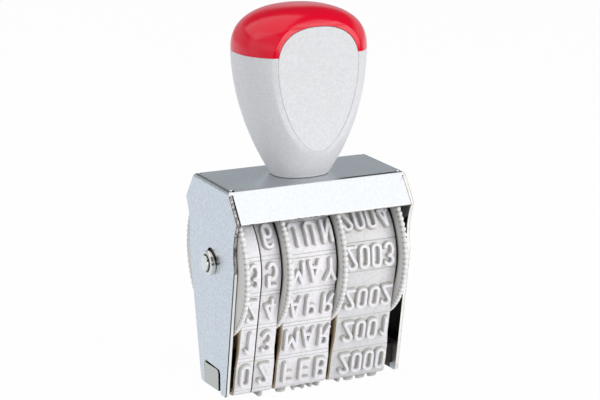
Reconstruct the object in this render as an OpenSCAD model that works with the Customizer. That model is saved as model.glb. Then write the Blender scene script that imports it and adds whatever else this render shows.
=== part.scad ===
// Hand date stamp: a bent steel frame carries four rubber date bands on thumbwheels, under a palm handle.
// X runs along the axle, -Y is the front, Z is up. z = 0 is the surface that the type stands on.
// All lengths are millimetres.

/* [Frame] */
// Thickness of the bent steel sheet
sheet_t = 0.8; // [0.6:0.1:1.2]
// Gap between the wheel rims and the top plate
top_gap = 0.4; // [0.3:0.1:1.5]
// Gap between the wheel rims and the hood flaps
flap_gap = 0.7; // [0.4:0.1:1.5]
// Angle at which the hood flaps fold down from the top plate
flap_angle = 53.13; // [45:0.01:60]
// Length of a hood flap down its slope
flap_len = 8.5; // [6:0.1:10]
// Outer radius of the folds in the sheet
fold_r = 1; // [0.9:0.1:1.5]
// Gap between the ends of a hood flap and the side plates
seam_gap = 0.25; // [0.1:0.05:0.4]
// Diameter of the relief holes at the ends of the flap folds
relief_d = 1.1; // [0.7:0.1:1.4]
// Half depth of a side plate at the bump below its finger notch
bump_y = 13.5; // [12.5:0.1:14.5]
// Height of that bump above the axle
bump_above_axle = 0.9; // [0:0.1:3]
// Depth of the finger notch
notch_depth = 1.2; // [0.6:0.1:1.6]
// Half depth of a side plate at its lower edge
foot_y = 7.8; // [7.2:0.1:9]
// Radius of the lower corners of a side plate
foot_r = 1.2; // [0.6:0.1:2]
// Height of the tab lanced out of each side plate
tab_h = 5.4; // [4.5:0.1:6.5]
// Height of the slit above that tab
tab_slit = 0.5; // [0.3:0.1:0.8]
// Width of the slit beyond the tab's free end
tab_end_slit = 2; // [0.5:0.1:2.5]
// Radius of the free corner of the tab and of the slit round it
tab_corner = 1; // [0.4:0.1:2]
// Angle by which the tab is bent inwards
tab_bend = 3.5; // [2:0.5:7]

/* [Axle] */
// Diameter of the axle
axle_d = 5.9; // [5:0.1:7]
// Height of the axle above the lower edge of the side plates
axle_h = 31.6; // [30:0.1:36]
// Length of axle that stands out of each side plate
axle_proud = 1.9; // [1:0.1:3]
// Step at the axle's ends
axle_edge = 0.4; // [0.2:0.1:0.8]
// Diameter of the axle in the grooves that sit in the side plates
groove_d = 5; // [4:0.1:5.2]
// Width of clearance of a groove over the sheet
groove_gap = 0.1; // [0.05:0.05:0.3]
// How far the round entry of the keyhole lies above the axle
keyhole_rise = 0.45; // [0.3:0.05:1]
// Length of the spacer sleeve beside the year wheel
spacer_l = 1.9; // [1:0.1:4]
// Wall of the spacer sleeve
spacer_wall = 1.5; // [1:0.1:2.5]
// Radial running clearance on the axle
axle_fit = 0.05; // [0.02:0.01:0.1]

/* [Thumbwheels] */
// Diameter of the thumbwheel rims over their ribs
wheel_d = 36.4; // [34:0.2:40]
// Thickness of a thumbwheel rim
flange_t = 1.1; // [0.9:0.1:1.6]
// Number of grip ribs round a rim
rib_count = 86; // [80:2:120]
// Depth of the grip ribs
rib_depth = 0.5; // [0.2:0.05:0.6]
// Diameter of the drum that carries a band
drum_d = 25.3; // [22:0.1:27]
// Wall of the drum
drum_wall = 1.6; // [1:0.1:3]
// Diameter of a wheel's hub
hub_d = 9; // [8.5:0.1:12]
// Gap between neighbours along the axle
side_gap = 0.2; // [0.15:0.05:0.4]
// Gap between a drum and its band
drum_gap = 0.15; // [0.1:0.05:0.3]

/* [Date bands] */
// Width of the band with the tens of the day
tens_w = 4.1; // [3.6:0.1:6]
// Width of the band with the units of the day
units_w = 4.9; // [3.6:0.1:6]
// Width of the month band
month_w = 12.8; // [10:0.1:16]
// Width of the year band
year_w = 14.4; // [12:0.1:18]
// Thickness of a band's rubber under the type
rubber_t = 0.9; // [0.6:0.1:1.4]
// Thickness of the woven ply that backs the rubber
ply_t = 0.7; // [0.4:0.1:1]
// Height of the raised type
type_h = 1.2; // [0.8:0.1:1.8]
// Height of a character along the band
type_tall = 6.8; // [5:0.1:7.6]
// Width of one character
type_w = 2.6; // [2:0.1:3]
// Width from one character of a year to the next
year_pitch = 3.25; // [3.1:0.05:3.5]
// Width from one character of a month to the next
month_pitch = 4.15; // [3.1:0.05:4.3]
// Number of type positions round a band
type_rows = 14; // [12:1:14]
// Distance along the band from the middle of the sole to the middle of a type row
row_start = 3.3; // [0:0.05:8]
// Depth to which a character is rooted in the rubber
type_root = 0.3; // [0.2:0.05:0.5]

/* [Bridge] */
// Depth of the bridge that presses the type down
bridge_d = 12.5; // [11:0.1:14]
// Height of the bridge
bridge_h = 5; // [4:0.1:7]
// Wall of the bridge
bridge_t = 1; // [0.8:0.1:1.6]
// Gap between the bridge and the bands' backing
bridge_gap = 0.1; // [0.05:0.05:0.3]
// Inner radius at which the bands turn round the bridge
turn_r = 0.4; // [0.3:0.05:1]

/* [Handle] */
// Height of the handle above the top plate
handle_h = 40.4; // [39.5:0.1:46]
// Largest width of the handle
handle_w = 32; // [30:0.2:38]
// Height of the dome above the widest place of the handle
dome_h = 9.9; // [8:0.1:10.5]
// Width of the handle where it meets the top plate
base_w = 13.8; // [13:0.1:18]
// Depth of the handle where it meets the top plate
base_d = 11.6; // [11:0.1:15]
// Chamfer round the handle's base
base_chamfer = 0.5; // [0.3:0.1:1]
// Distance between the flat front and back faces of the handle
face_d = 21.6; // [20.6:0.1:24]
// Width of those egg-shaped flat faces
face_w = 20.5; // [18:0.1:22]
// Height of the lower tip of the flat faces above the top plate
face_low_h = 7.2; // [6.8:0.1:9]
// Height of the round upper part of the flat faces, above their widest place
face_arch_h = 9; // [8:0.1:10]
// Distance from the upper end of the flat faces to the top of the handle
face_top_gap = 3.9; // [3.5:0.1:5]
// Depth that the handle would have without its flat faces
bulge_d = 27.1; // [26.6:0.1:30]
// Distance from the deepest place of the handle to its top
bulge_top_gap = 14.4; // [12.4:0.1:16.4]
// Width of the bevel between the flat faces and the round body
bevel_w = 1.05; // [0.8:0.05:1.3]
// Height of the cap
cap_h = 10.5; // [9.5:0.1:11.5]
// Wall of the cap
cap_wall = 2; // [1.5:0.1:2.5]
// Thickness of the cap's roof
cap_roof_t = 2.4; // [2:0.1:3]
// Gap between the cap and the handle body inside it
cap_gap = 0.1; // [0.05:0.05:0.2]

/* [Handle fixing] */
// Diameter of the stud that holds the handle
stud_d = 4; // [3:0.5:5]
// Diameter of the stud's head, clinched flush into the top plate
stud_head_d = 6; // [5.5:0.1:7]
// Length of stud that stands out of the nut
stud_proud = 0.8; // [0.4:0.1:1.5]
// Clearance round the stud in the handle and round its head in the plate
stud_fit = 0.05; // [0.02:0.01:0.1]
// Depth below the top of the handle of the floor that the nut clamps
nut_depth = 16.4; // [14:0.1:20]
// Diameter of the pocket for nut and washer
nut_pocket_d = 9.2; // [9:0.1:10]
// Width of the nut across its flats
nut_flats = 7; // [6:0.1:7.5]
// Thickness of the nut
nut_t = 3.2; // [2.4:0.1:4]
// Diameter of the washer under the nut
washer_d = 8.6; // [8:0.1:8.8]
// Thickness of that washer
washer_t = 0.8; // [0.5:0.1:1.2]
// Diameter of the two pegs that keep the handle from turning
peg_d = 1.8; // [1.4:0.1:2.2]
// Distance of each peg from the stud
peg_x = 5.2; // [4.6:0.1:5.8]
// Width of the two cored-out pockets in the handle
core_w = 5.5; // [4:0.1:6]
// Depth of those pockets from front to back
core_d = 9.2; // [6:0.1:9.2]
// Wall between those pockets and the pocket of the nut
core_wall = 1; // [0.8:0.1:1.5]
// Height above the top plate at which those pockets start
core_low_h = 16; // [14:0.5:20]

/* [Hidden] */
$fn = 64;

// Heights above the surface that the type stands on
plate_z = type_h;
axle_z = plate_z + axle_h;
wheel_r = wheel_d / 2;
top_z = axle_z + wheel_r + top_gap + sheet_t;

// Places along the axle, from the left side plate to the right one
flange_count = 4;
gap_count = 9;
bands_w = tens_w + units_w + month_w + year_w;
inner_w = bands_w + flange_count * flange_t + gap_count * side_gap + spacer_l;
frame_w = inner_w + 2 * sheet_t;
plate_x = inner_w / 2;
tens_flange_x = -plate_x + side_gap;
tens_x = tens_flange_x + flange_t + side_gap;
units_x = tens_x + tens_w + side_gap;
units_flange_x = units_x + units_w + side_gap;
month_x = units_flange_x + flange_t + side_gap;
month_flange_x = month_x + month_w + side_gap;
year_x = month_flange_x + flange_t + side_gap;
year_flange_x = year_x + year_w + side_gap;
spacer_x = year_flange_x + flange_t + side_gap;

// Side plate outline: the flap's outer plane passes the wheels at a set distance
flap_far = wheel_r + flap_gap + sheet_t;
top_y = (flap_far - (top_z - axle_z) * cos(flap_angle)) / sin(flap_angle);
shoulder_y = top_y + flap_len * cos(flap_angle);
shoulder_z = top_z - flap_len * sin(flap_angle);
bump_z = axle_z + bump_above_axle;
notch_chord = norm([shoulder_y - bump_y, shoulder_z - bump_z]);
notch_r = notch_chord * notch_chord / (8 * notch_depth) + notch_depth / 2;
notch_dir = [shoulder_z - bump_z, bump_y - shoulder_y] / notch_chord;
notch_at = [shoulder_y + bump_y, shoulder_z + bump_z] / 2 + (notch_r - notch_depth) * notch_dir;
fold_tangent = fold_r * tan(flap_angle / 2);
fold_steps = 6;

// Path of a band: flat sole, tight turn, straight run, wheel; the path is the rubber's outer face
band_t = rubber_t + ply_t;
wheel_turn_r = drum_d / 2 + drum_gap + band_t;
sole_turn_r = turn_r + band_t;
sole_half = bridge_d / 2 + bridge_gap - turn_r;
turn_z = type_h + sole_turn_r;
turn_span = norm([sole_half, axle_z - turn_z]);
lean = asin((wheel_turn_r - sole_turn_r) / turn_span) - atan2(sole_half, axle_z - turn_z);
turn_len = sole_turn_r * (90 - lean) * PI / 180;
run_len = sqrt(turn_span * turn_span - pow(wheel_turn_r - sole_turn_r, 2));
wrap_len = wheel_turn_r * (90 + lean) * PI / 180;
turn_end = sole_half + turn_len;
run_end = turn_end + run_len;
half_len = run_end + wrap_len;
row_pitch = 2 * half_len / type_rows;
turn_steps = 6;
wrap_steps = 24;
row_steps = 4;

// Bridge and the tabs that enter its ends
bridge_y = bridge_d / 2;
bridge_z = type_h + band_t + bridge_gap;
tab_hinge_gap = 0.25;
tab_free_gap = 3.05;
tab_hinge = bridge_y - bridge_t - tab_hinge_gap;
tab_free = -(bridge_y - bridge_t - tab_free_gap);
tab_len = tab_hinge - tab_free;
tab_reach = tab_len * sin(tab_bend) + side_gap;

// Heights in the handle above the top plate
widest_h = handle_h - dome_h;
face_top = handle_h - face_top_gap;
face_mid = face_top - face_arch_h;
cap_low = handle_h - cap_h;
cavity_h = handle_h - cap_roof_t;
nut_floor = handle_h - nut_depth;
spigot_h = cavity_h - cap_gap;

// Handle sections: a superellipse behind the flat faces
section_power = 2.3;
flare_power = 1.87;
dome_power = 2.35;
face_power_low = 1.8;
face_power_high = 2.4;
bulge_power_low = 2.9;
bulge_power_high = 2.8;
face_y = face_d / 2;
deepest_h = handle_h - bulge_top_gap;
skirt_h = face_low_h - bevel_w;
crown_h = face_top + bevel_w;
section_steps = 8;
ring_size = 4 * (section_steps + 2) - 2;
tip_half = 0.05;
dome_end = 0.995;
skirt_rings = 4;
body_rings = 13;
cap_rings = 10;
first_cap_ring = 3;
cavity_rings = 8;
arch_steps = 20;
dome_shares = [0.3, 0.55, 0.75, 0.9, dome_end];

overlap = 0.01;
cut = 1;

// Points on an arc round c, from angle a0 to a1
function arc(c, r, a0, a1, n) =
  [for (i = [0:n]) c + r * [cos(a0 + (a1 - a0) * i / n), sin(a0 + (a1 - a0) * i / n)]];

// The list p with its first coordinate mirrored and its order turned round
function mirrored(p) = [for (i = [len(p) - 1:-1:0]) [-p[i][0], p[i][1]]];

// Draws children given in the Y-Z plane as a plate from x0 to x1
module plate_x(x0, x1) {
  translate([x0, 0, 0])
    rotate([90, 0, 90])
      linear_extrude(x1 - x0)
        children();
}

// A cylinder along the axle from x0 to x1
module rod_x(x0, x1, d) {
  translate([x0, 0, axle_z])
    rotate([0, 90, 0])
      cylinder(h = x1 - x0, d = d);
}

// Fold between the top plate and a hood flap, then the flap's outer face
function fold_points() =
  arc([top_y - fold_tangent, top_z - fold_r], fold_r, 90, 90 - flap_angle, fold_steps);

// One half of the side plate outline, from the top plate to the foot
function plate_half() = concat(
  fold_points(),
  [[shoulder_y, shoulder_z], [bump_y, bump_z]],
  arc([foot_y - foot_r, plate_z + foot_r], foot_r, 0, -90, fold_steps)
);

module plate_outline() {
  difference() {
    polygon(concat(plate_half(), mirrored(plate_half())));
    for (side = [-1, 1])
      translate([side * notch_at[0], notch_at[1]])
        circle(r = notch_r);
  }
}

// Cross-section of top plate and side plates, seen along Y
function bent_strip() = concat(
  [[-frame_w / 2, 0]],
  arc([-frame_w / 2 + fold_r, top_z - fold_r], fold_r, 180, 90, fold_steps),
  arc([frame_w / 2 - fold_r, top_z - fold_r], fold_r, 90, 0, fold_steps),
  [[frame_w / 2, 0], [plate_x, 0], [plate_x, top_z - sheet_t], [-plate_x, top_z - sheet_t], [-plate_x, 0]]
);

function flap_outline() =
  let (inward = sheet_t * [sin(flap_angle), cos(flap_angle)])
  concat(
    fold_points(),
    [
      [shoulder_y, shoulder_z],
      [shoulder_y, shoulder_z] - inward,
      [top_y - sheet_t * tan(flap_angle / 2), top_z - sheet_t],
      [top_y - fold_tangent, top_z - sheet_t]
    ]
  );

module keyhole() {
  plate_x(-frame_w / 2 - cut, frame_w / 2 + cut) {
    translate([0, axle_z])
      circle(d = groove_d + 2 * axle_fit);
    translate([0, axle_z + keyhole_rise])
      circle(d = axle_d + 2 * axle_fit);
  }
}

// Outline of the tab or its window from y0 to y1, with its free upper corner rounded
function tab_outline(y0, y1, z0, z1) = concat(
  [[y1, z1], [y1, z0], [y0, z0]],
  arc([y0 + tab_corner, z1 - tab_corner], tab_corner, 180, 90, fold_steps)
);

// Window that the slit and the tab leave in the left side plate
module tab_window() {
  plate_x(-frame_w / 2 - cut, -plate_x + cut)
    polygon(tab_outline(tab_free - tab_end_slit, tab_hinge, plate_z - cut, plate_z + tab_h + tab_slit));
}

// Tab of the left side plate, hinged at its rear end
module tab() {
  translate([-frame_w / 2, tab_hinge, plate_z])
    rotate([0, 0, tab_bend])
      plate_x(0, sheet_t)
        polygon(tab_outline(-tab_len, tab_hinge_gap, 0, tab_h));
}

module frame() {
  color([0.80, 0.83, 0.87])
    union() {
      difference() {
        intersection() {
          translate([0, shoulder_y + cut, 0])
            rotate([90, 0, 0])
              linear_extrude(2 * (shoulder_y + cut))
                polygon(bent_strip());
          plate_x(-frame_w, frame_w)
            plate_outline();
        }
        keyhole();
        for (turn = [0, 180])
          rotate([0, 0, turn])
            tab_window();
        for (x = [-1, 1], y = [-1, 1])
          translate([x * (plate_x - relief_d / 2), y * (top_y - fold_tangent), top_z - sheet_t - cut])
            cylinder(h = sheet_t + 2 * cut, d = relief_d);
        translate([0, 0, top_z - sheet_t - cut])
          cylinder(h = sheet_t + 2 * cut, d = stud_head_d + 2 * stud_fit);
        for (side = [-1, 1])
          translate([side * peg_x, 0, top_z - sheet_t - cut])
            cylinder(h = sheet_t + 2 * cut, d = peg_d + 2 * stud_fit);
      }
      for (turn = [0, 180])
        rotate([0, 0, turn]) {
          tab();
          difference() {
            plate_x(-plate_x + seam_gap, plate_x - seam_gap)
              polygon(flap_outline());
            for (x = [-1, 1])
              translate([x * (plate_x - relief_d / 2), top_y - fold_tangent, shoulder_z])
                cylinder(h = top_z, d = relief_d);
          }
        }
    }
}

module axle() {
  end_x = frame_w / 2 + axle_proud;
  color([0.78, 0.78, 0.77])
    difference() {
      union() {
        rod_x(-end_x + axle_edge, end_x - axle_edge, axle_d);
        rod_x(-end_x, end_x, axle_d - 2 * axle_edge);
      }
      for (side = [-1, 1])
        difference() {
          rod_x(
            side * (plate_x + sheet_t / 2) - (sheet_t + groove_gap) / 2,
            side * (plate_x + sheet_t / 2) + (sheet_t + groove_gap) / 2,
            axle_d + cut
          );
          rod_x(-end_x - cut, end_x + cut, groove_d);
        }
    }
}

module axle_spacer() {
  color([0.72, 0.72, 0.72])
    difference() {
      rod_x(spacer_x, spacer_x + spacer_l, axle_d + 2 * (axle_fit + spacer_wall));
      rod_x(spacer_x - cut, spacer_x + spacer_l + cut, axle_d + 2 * axle_fit);
    }
}

// Channel under the bands' sole, open upwards; its web stops short of the tabs
module bridge() {
  round_r = turn_r - bridge_gap;
  half = concat(
    arc([bridge_y - round_r, bridge_z + round_r], round_r, -90, 0, fold_steps),
    [
      [bridge_y, bridge_z + bridge_h],
      [bridge_y - bridge_t, bridge_z + bridge_h],
      [bridge_y - bridge_t, bridge_z + bridge_t]
    ]
  );
  color([0.55, 0.52, 0.47])
    difference() {
      plate_x(-plate_x, plate_x)
        polygon(concat(half, mirrored(half)));
      for (side = [-1, 1])
        translate([side * plate_x, 0, bridge_z])
          cube([2 * tab_reach, 2 * (bridge_y - bridge_t), 2 * bridge_h], center = true);
    }
}

// Rim outline with straight grip ribs
function rib_outline() =
  let (pitch = 360 / rib_count, low = wheel_r - rib_depth)
  [
    for (i = [0:rib_count - 1], p = [[0, low], [0.25, wheel_r], [0.55, wheel_r], [0.8, low]])
      p[1] * [cos((i + p[0]) * pitch), sin((i + p[0]) * pitch)]
  ];

// A thumbwheel: ribbed rim, band drum and hub in one moulding
module thumbwheel(rim_x, drum_x0, drum_x1) {
  color([0.86, 0.86, 0.85])
    difference() {
      union() {
        plate_x(rim_x, rim_x + flange_t)
          translate([0, axle_z])
            polygon(rib_outline());
        difference() {
          rod_x(drum_x0, drum_x1, drum_d);
          rod_x(drum_x0 - cut, drum_x1 + cut, drum_d - 2 * drum_wall);
        }
        rod_x(drum_x0, drum_x1, hub_d);
      }
      rod_x(-frame_w, frame_w, axle_d + 2 * axle_fit);
    }
}

module tens_wheel() {
  thumbwheel(tens_flange_x, tens_flange_x + flange_t - overlap, tens_x + tens_w);
}

module units_wheel() {
  thumbwheel(units_flange_x, units_x, units_flange_x + overlap);
}

module month_wheel() {
  thumbwheel(month_flange_x, month_x, month_flange_x + overlap);
}

module year_wheel() {
  thumbwheel(year_flange_x, year_x, year_flange_x + overlap);
}

// Point of the band's path at distance s from the middle of the sole, o outside the rubber's face
function band_point(s, o) =
  s < 0 ? let (p = band_point(-s, o)) [-p[0], p[1]] :
  s <= sole_half ? [-s, type_h - o] :
  s <= turn_end ?
    let (a = -90 - (s - sole_half) / sole_turn_r * 180 / PI)
    [-sole_half, turn_z] + (sole_turn_r + o) * [cos(a), sin(a)] :
  s <= run_end ?
    [-sole_half, turn_z] + (sole_turn_r + o) * [-cos(lean), -sin(lean)]
      + (s - turn_end) * [-sin(lean), cos(lean)] :
    let (a = 180 + lean - (s - run_end) / wheel_turn_r * 180 / PI)
    [0, axle_z] + (wheel_turn_r + o) * [cos(a), sin(a)];

// Closed outline of a band at distance o outside the rubber's face
function band_outline(o) =
  let (
    half = concat(
      [for (i = [0:turn_steps]) band_point(sole_half + turn_len * i / turn_steps, o)],
      [for (i = [0:wrap_steps - 1]) band_point(run_end + wrap_len * i / wrap_steps, o)]
    )
  )
  concat(half, [band_point(half_len, o)], mirrored(half));

// The stretch of a band from x0 to x1 between two distances from the rubber's face
module band_layer(x0, x1, inner_o, outer_o) {
  difference() {
    plate_x(x0, x1)
      polygon(band_outline(outer_o));
    plate_x(x0 - cut, x1 + cut)
      polygon(band_outline(inner_o));
  }
}

// One raised character block, centred at x and at distance s along the band
module type_block(x, s) {
  steps = [for (i = [0:row_steps]) s + type_tall * (i / row_steps - 0.5)];
  low = [for (t = steps) band_point(t, -type_root)];
  high = [for (i = [row_steps:-1:0]) band_point(steps[i], type_h)];
  plate_x(x - type_w / 2, x + type_w / 2)
    polygon(concat(low, high));
}

// A date band: rubber with rows of type all the way round
module date_band(x0, width, characters, pitch) {
  middle = x0 + width / 2;
  first = -floor((half_len + row_start) / row_pitch);
  color([0.87, 0.87, 0.85])
    union() {
      band_layer(x0, x0 + width, -rubber_t, 0);
      for (row = [first:first + type_rows - 1], i = [0:characters - 1])
        type_block(middle + (i - (characters - 1) / 2) * pitch, row_start + row * row_pitch);
    }
}

module tens_band() {
  date_band(tens_x, tens_w, 1, 0);
}

module units_band() {
  date_band(units_x, units_w, 1, 0);
}

module month_band() {
  date_band(month_x, month_w, 3, month_pitch);
}

module year_band() {
  date_band(year_x, year_w, 4, year_pitch);
}

// The woven ply inside a band
module backing(x0, width) {
  color([0.66, 0.58, 0.46])
    band_layer(x0, x0 + width, -band_t, -rubber_t);
}

module tens_backing() {
  backing(tens_x, tens_w);
}

module units_backing() {
  backing(units_x, units_w);
}

module month_backing() {
  backing(month_x, month_w);
}

module year_backing() {
  backing(year_x, year_w);
}

// Half width of a flat face, grown outwards by g, at height h above the top plate
function face_half(h, g) =
  let (
    high = h > face_mid,
    power = high ? face_power_high : face_power_low,
    t = high ? (h - face_mid) / (face_top - face_mid + g) : (face_mid - h) / (face_mid - face_low_h + g)
  )
  t >= 1 ? tip_half : max(tip_half, (face_w / 2 + g) * pow(1 - pow(t, power), 1 / power));

// Shrinking of the dome above the widest height
function dome(h) = pow(1 - pow((h - widest_h) / (handle_h - widest_h), dome_power), 1 / dome_power);

// Half width of the handle at mid depth
function side_half(h) =
  h > widest_h ? handle_w / 2 * dome(h) :
  base_w / 2 + (handle_w - base_w) / 2 * (1 - pow(1 - h / widest_h, flare_power));

// Half depth of the handle without its flat faces
function bulge(h) =
  h > deepest_h ?
  bulge_d / 2 * pow(1 - pow((h - deepest_h) / bulge_top_gap, bulge_power_high), 1 / bulge_power_high) :
  base_d / 2 + (bulge_d - base_d) / 2 * (1 - pow(1 - h / deepest_h, bulge_power_low));

// Half depth of the handle on its middle plane
function front_half(h) =
  h <= skirt_h || h >= crown_h ? bulge(h) :
  h < face_low_h ? face_y - (face_y - bulge(skirt_h)) * (face_low_h - h) / bevel_w :
  h <= face_top ? face_y :
  face_y - (face_y - bulge(crown_h)) * (h - face_top) / bevel_w;

// Quarter of a section from the side to the front: superellipse, then bevel, then flat face
function quarter(h) =
  let (
    a = side_half(h),
    b = bulge(h),
    w = max(face_half(h, bevel_w), face_half(h, 0) + tip_half),
    t_end = acos(pow(w / a, section_power / 2))
  )
  concat(
    [
      for (i = [0:section_steps])
        [a * pow(cos(t_end * i / section_steps), 2 / section_power),
         b * pow(sin(t_end * i / section_steps), 2 / section_power)]
    ],
    [[face_half(h, 0), front_half(h)]]
  );

// The same quarter of the cavity in the cap, at clearance g inside it
function inner_quarter(h, g) =
  let (a = side_half(h) - cap_wall - g, b = front_half(h) - cap_wall - g, n = section_steps + 1)
  [
    for (i = [0:n])
      let (t = 90 * min(i / n, 1 - tip_half / n))
      [a * pow(cos(t), 2 / section_power), b * pow(sin(t), 2 / section_power)]
  ];

// Four quarters joined to one ring of points at height h above the top plate
function ring(q, h) =
  let (n = len(q) - 1, z = top_z + h)
  concat(
    [for (i = [0:n]) [q[i][0], q[i][1], z]],
    [for (i = [n:-1:0]) [-q[i][0], q[i][1], z]],
    [for (i = [1:n]) [-q[i][0], -q[i][1], z]],
    [for (i = [n:-1:1]) [q[i][0], -q[i][1], z]]
  );

// A closed solid through a list of rings, from the lowest to the highest
module loft(rings) {
  n = ring_size;
  last = len(rings) - 1;
  sides = [
    for (r = [0:last - 1], j = [0:n - 1])
      let (k = (j + 1) % n, p = r * n)
      each [[p + j, p + n + j, p + n + k], [p + j, p + n + k, p + k]]
  ];
  floor_face = [for (j = [0:n - 1]) j];
  top_face = [for (j = [n - 1:-1:0]) last * n + j];
  polyhedron(points = [for (r = rings) each r], faces = concat(sides, [floor_face, top_face]));
}

// Heights of the rings of the handle's outside, closest together at the ends of the flat faces
body_heights = concat(
  [for (i = [1:skirt_rings - 1]) base_chamfer + (skirt_h - base_chamfer) * i / skirt_rings],
  [for (i = [0:body_rings]) face_mid - (face_mid - skirt_h) * cos(90 * i / body_rings)],
  [cap_low]
);
cap_heights = concat(
  [cap_low],
  [for (i = [first_cap_ring:cap_rings]) face_mid + (crown_h - face_mid) * sin(90 * i / cap_rings)],
  [for (t = dome_shares) crown_h + (handle_h - crown_h) * t]
);
cavity_heights = [for (i = [0:cavity_rings]) cap_low + (cavity_h - cap_low) * sin(90 * i / cavity_rings)];

// Egg-shaped flat face above the cap's lower edge, as an outline in X-Z
function arch_outline(g) =
  let (
    low = cap_low - cap_wall,
    side = [
      for (i = [0:arch_steps])
        let (h = low + (face_top + g - low) * sin(90 * i / arch_steps))
        [face_half(h, g), top_z + h]
    ]
  )
  concat(side, mirrored(side));

// Tongues that fill the arches of the cap, front and back, from the spigot out to depth y
module arches(g, y) {
  for (turn = [0, 180])
    rotate([90, 0, turn])
      translate([0, 0, face_y - 2 * cap_wall])
        linear_extrude(y - face_y + 2 * cap_wall)
          polygon(arch_outline(g));
}

module handle_body() {
  base_ring = [for (p = quarter(base_chamfer)) p * (1 - base_chamfer / base_d)];
  color([0.86, 0.87, 0.88])
    difference() {
      union() {
        loft(concat(
          [ring(base_ring, 0), ring(quarter(base_chamfer), base_chamfer)],
          [for (h = body_heights) ring(quarter(h), h)],
          [for (h = cavity_heights) ring(inner_quarter(h, cap_gap), min(h, spigot_h))]
        ));
        arches(0, face_y);
        for (side = [-1, 1])
          translate([side * peg_x, 0, top_z - sheet_t])
            cylinder(h = 2 * sheet_t, d = peg_d);
      }
      translate([0, 0, top_z - cut])
        cylinder(h = handle_h, d = stud_d + 2 * stud_fit);
      translate([0, 0, top_z + nut_floor])
        cylinder(h = handle_h, d = nut_pocket_d);
      for (side = [-1, 1])
        translate([side * (nut_pocket_d / 2 + core_wall + core_w / 2), 0, top_z + core_low_h + handle_h / 2])
          cube([core_w, core_d, handle_h], center = true);
    }
}

module handle_cap() {
  color([0.86, 0.10, 0.20])
    difference() {
      loft([for (h = cap_heights) ring(quarter(h), h)]);
      loft(concat(
        [ring(inner_quarter(cap_low, 0), cap_low - cut)],
        [for (h = cavity_heights) ring(inner_quarter(h, 0), h)]
      ));
      arches(cap_gap, face_y + cut);
    }
}

// Stud with its head flush in the top plate, up to the nut in the handle
module handle_stud() {
  color([0.72, 0.72, 0.72])
    union() {
      translate([0, 0, top_z - sheet_t])
        cylinder(h = sheet_t, d = stud_head_d);
      translate([0, 0, top_z - sheet_t])
        cylinder(h = sheet_t + nut_floor + washer_t + nut_t + stud_proud, d = stud_d);
    }
}

module handle_washer() {
  color([0.74, 0.74, 0.74])
    translate([0, 0, top_z + nut_floor])
      difference() {
        cylinder(h = washer_t, d = washer_d);
        translate([0, 0, -cut])
          cylinder(h = washer_t + 2 * cut, d = stud_d + 2 * stud_fit);
      }
}

module handle_nut() {
  color([0.72, 0.70, 0.62])
    translate([0, 0, top_z + nut_floor + washer_t])
      difference() {
        cylinder(h = nut_t, d = nut_flats / cos(30), $fn = 6);
        translate([0, 0, -cut])
          cylinder(h = nut_t + 2 * cut, d = stud_d + 2 * stud_fit);
      }
}

frame();
axle();
axle_spacer();
bridge();
tens_wheel();
units_wheel();
month_wheel();
year_wheel();
tens_band();
units_band();
month_band();
year_band();
tens_backing();
units_backing();
month_backing();
year_backing();
handle_body();
handle_cap();
handle_stud();
handle_washer();
handle_nut();
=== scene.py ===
"""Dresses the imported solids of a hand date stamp.

The plated frame, turned axle, ribbed thumbwheels, rubber bands with their type and the palm handle get
their finished shapes and surfaces here, each from an operator of its own.
"""

import math
from collections import namedtuple

import bmesh
import bpy
import numpy as np
from bpy.props import FloatProperty, FloatVectorProperty, IntProperty, PointerProperty
from mathutils import Matrix, Vector


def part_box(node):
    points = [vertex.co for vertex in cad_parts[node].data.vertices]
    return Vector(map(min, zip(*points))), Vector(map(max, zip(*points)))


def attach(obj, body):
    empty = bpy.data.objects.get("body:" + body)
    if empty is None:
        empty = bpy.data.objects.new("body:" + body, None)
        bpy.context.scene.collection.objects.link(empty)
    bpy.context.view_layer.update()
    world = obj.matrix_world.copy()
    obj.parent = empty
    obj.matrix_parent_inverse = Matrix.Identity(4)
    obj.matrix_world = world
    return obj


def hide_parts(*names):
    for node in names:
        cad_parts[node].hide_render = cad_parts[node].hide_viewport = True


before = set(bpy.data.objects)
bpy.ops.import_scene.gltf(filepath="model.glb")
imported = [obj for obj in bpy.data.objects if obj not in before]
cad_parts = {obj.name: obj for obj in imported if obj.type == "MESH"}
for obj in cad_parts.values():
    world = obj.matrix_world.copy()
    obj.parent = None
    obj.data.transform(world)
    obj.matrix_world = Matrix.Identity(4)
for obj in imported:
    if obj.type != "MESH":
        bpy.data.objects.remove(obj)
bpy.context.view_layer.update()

bl_info = {
    "name": "Date Stamp Dressing",
    "version": (1, 0, 0),
    "blender": (4, 5, 0),
    "location": "View3D > Sidebar > Date Stamp",
    "description": "Builds the finished pieces of a hand date stamp round its packed solids",
    "category": "Object",
}

MM = 0.001
QUARTER = math.pi / 2.0
ROOT_BODY = "stand"


def shade(red, green, blue):
    """A screen colour of 0 to 255 per channel as linear light."""
    return tuple(
        c / 12.92 if c <= 0.04045 else ((c + 0.055) / 1.055) ** 2.4
        for c in (red / 255, green / 255, blue / 255)
    )


def length(name, description, millimetres):
    """A length property whose default is given in millimetres."""
    return FloatProperty(
        name=name, description=description, default=millimetres * MM, unit="LENGTH", precision=5
    )


def colour(name, description, *screen):
    """A colour property; its default is given as a screen colour."""
    return FloatVectorProperty(
        name=name, description=description, default=shade(*screen), subtype="COLOR", min=0.0, max=1.0
    )


def angle(name, description, degrees):
    """An angle property whose default is given in degrees."""
    return FloatProperty(name=name, description=description, default=math.radians(degrees), subtype="ANGLE")


def wattage(name, description, watts):
    """The power of a lamp."""
    return FloatProperty(name=name, description=description, default=watts, unit="POWER")


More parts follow.
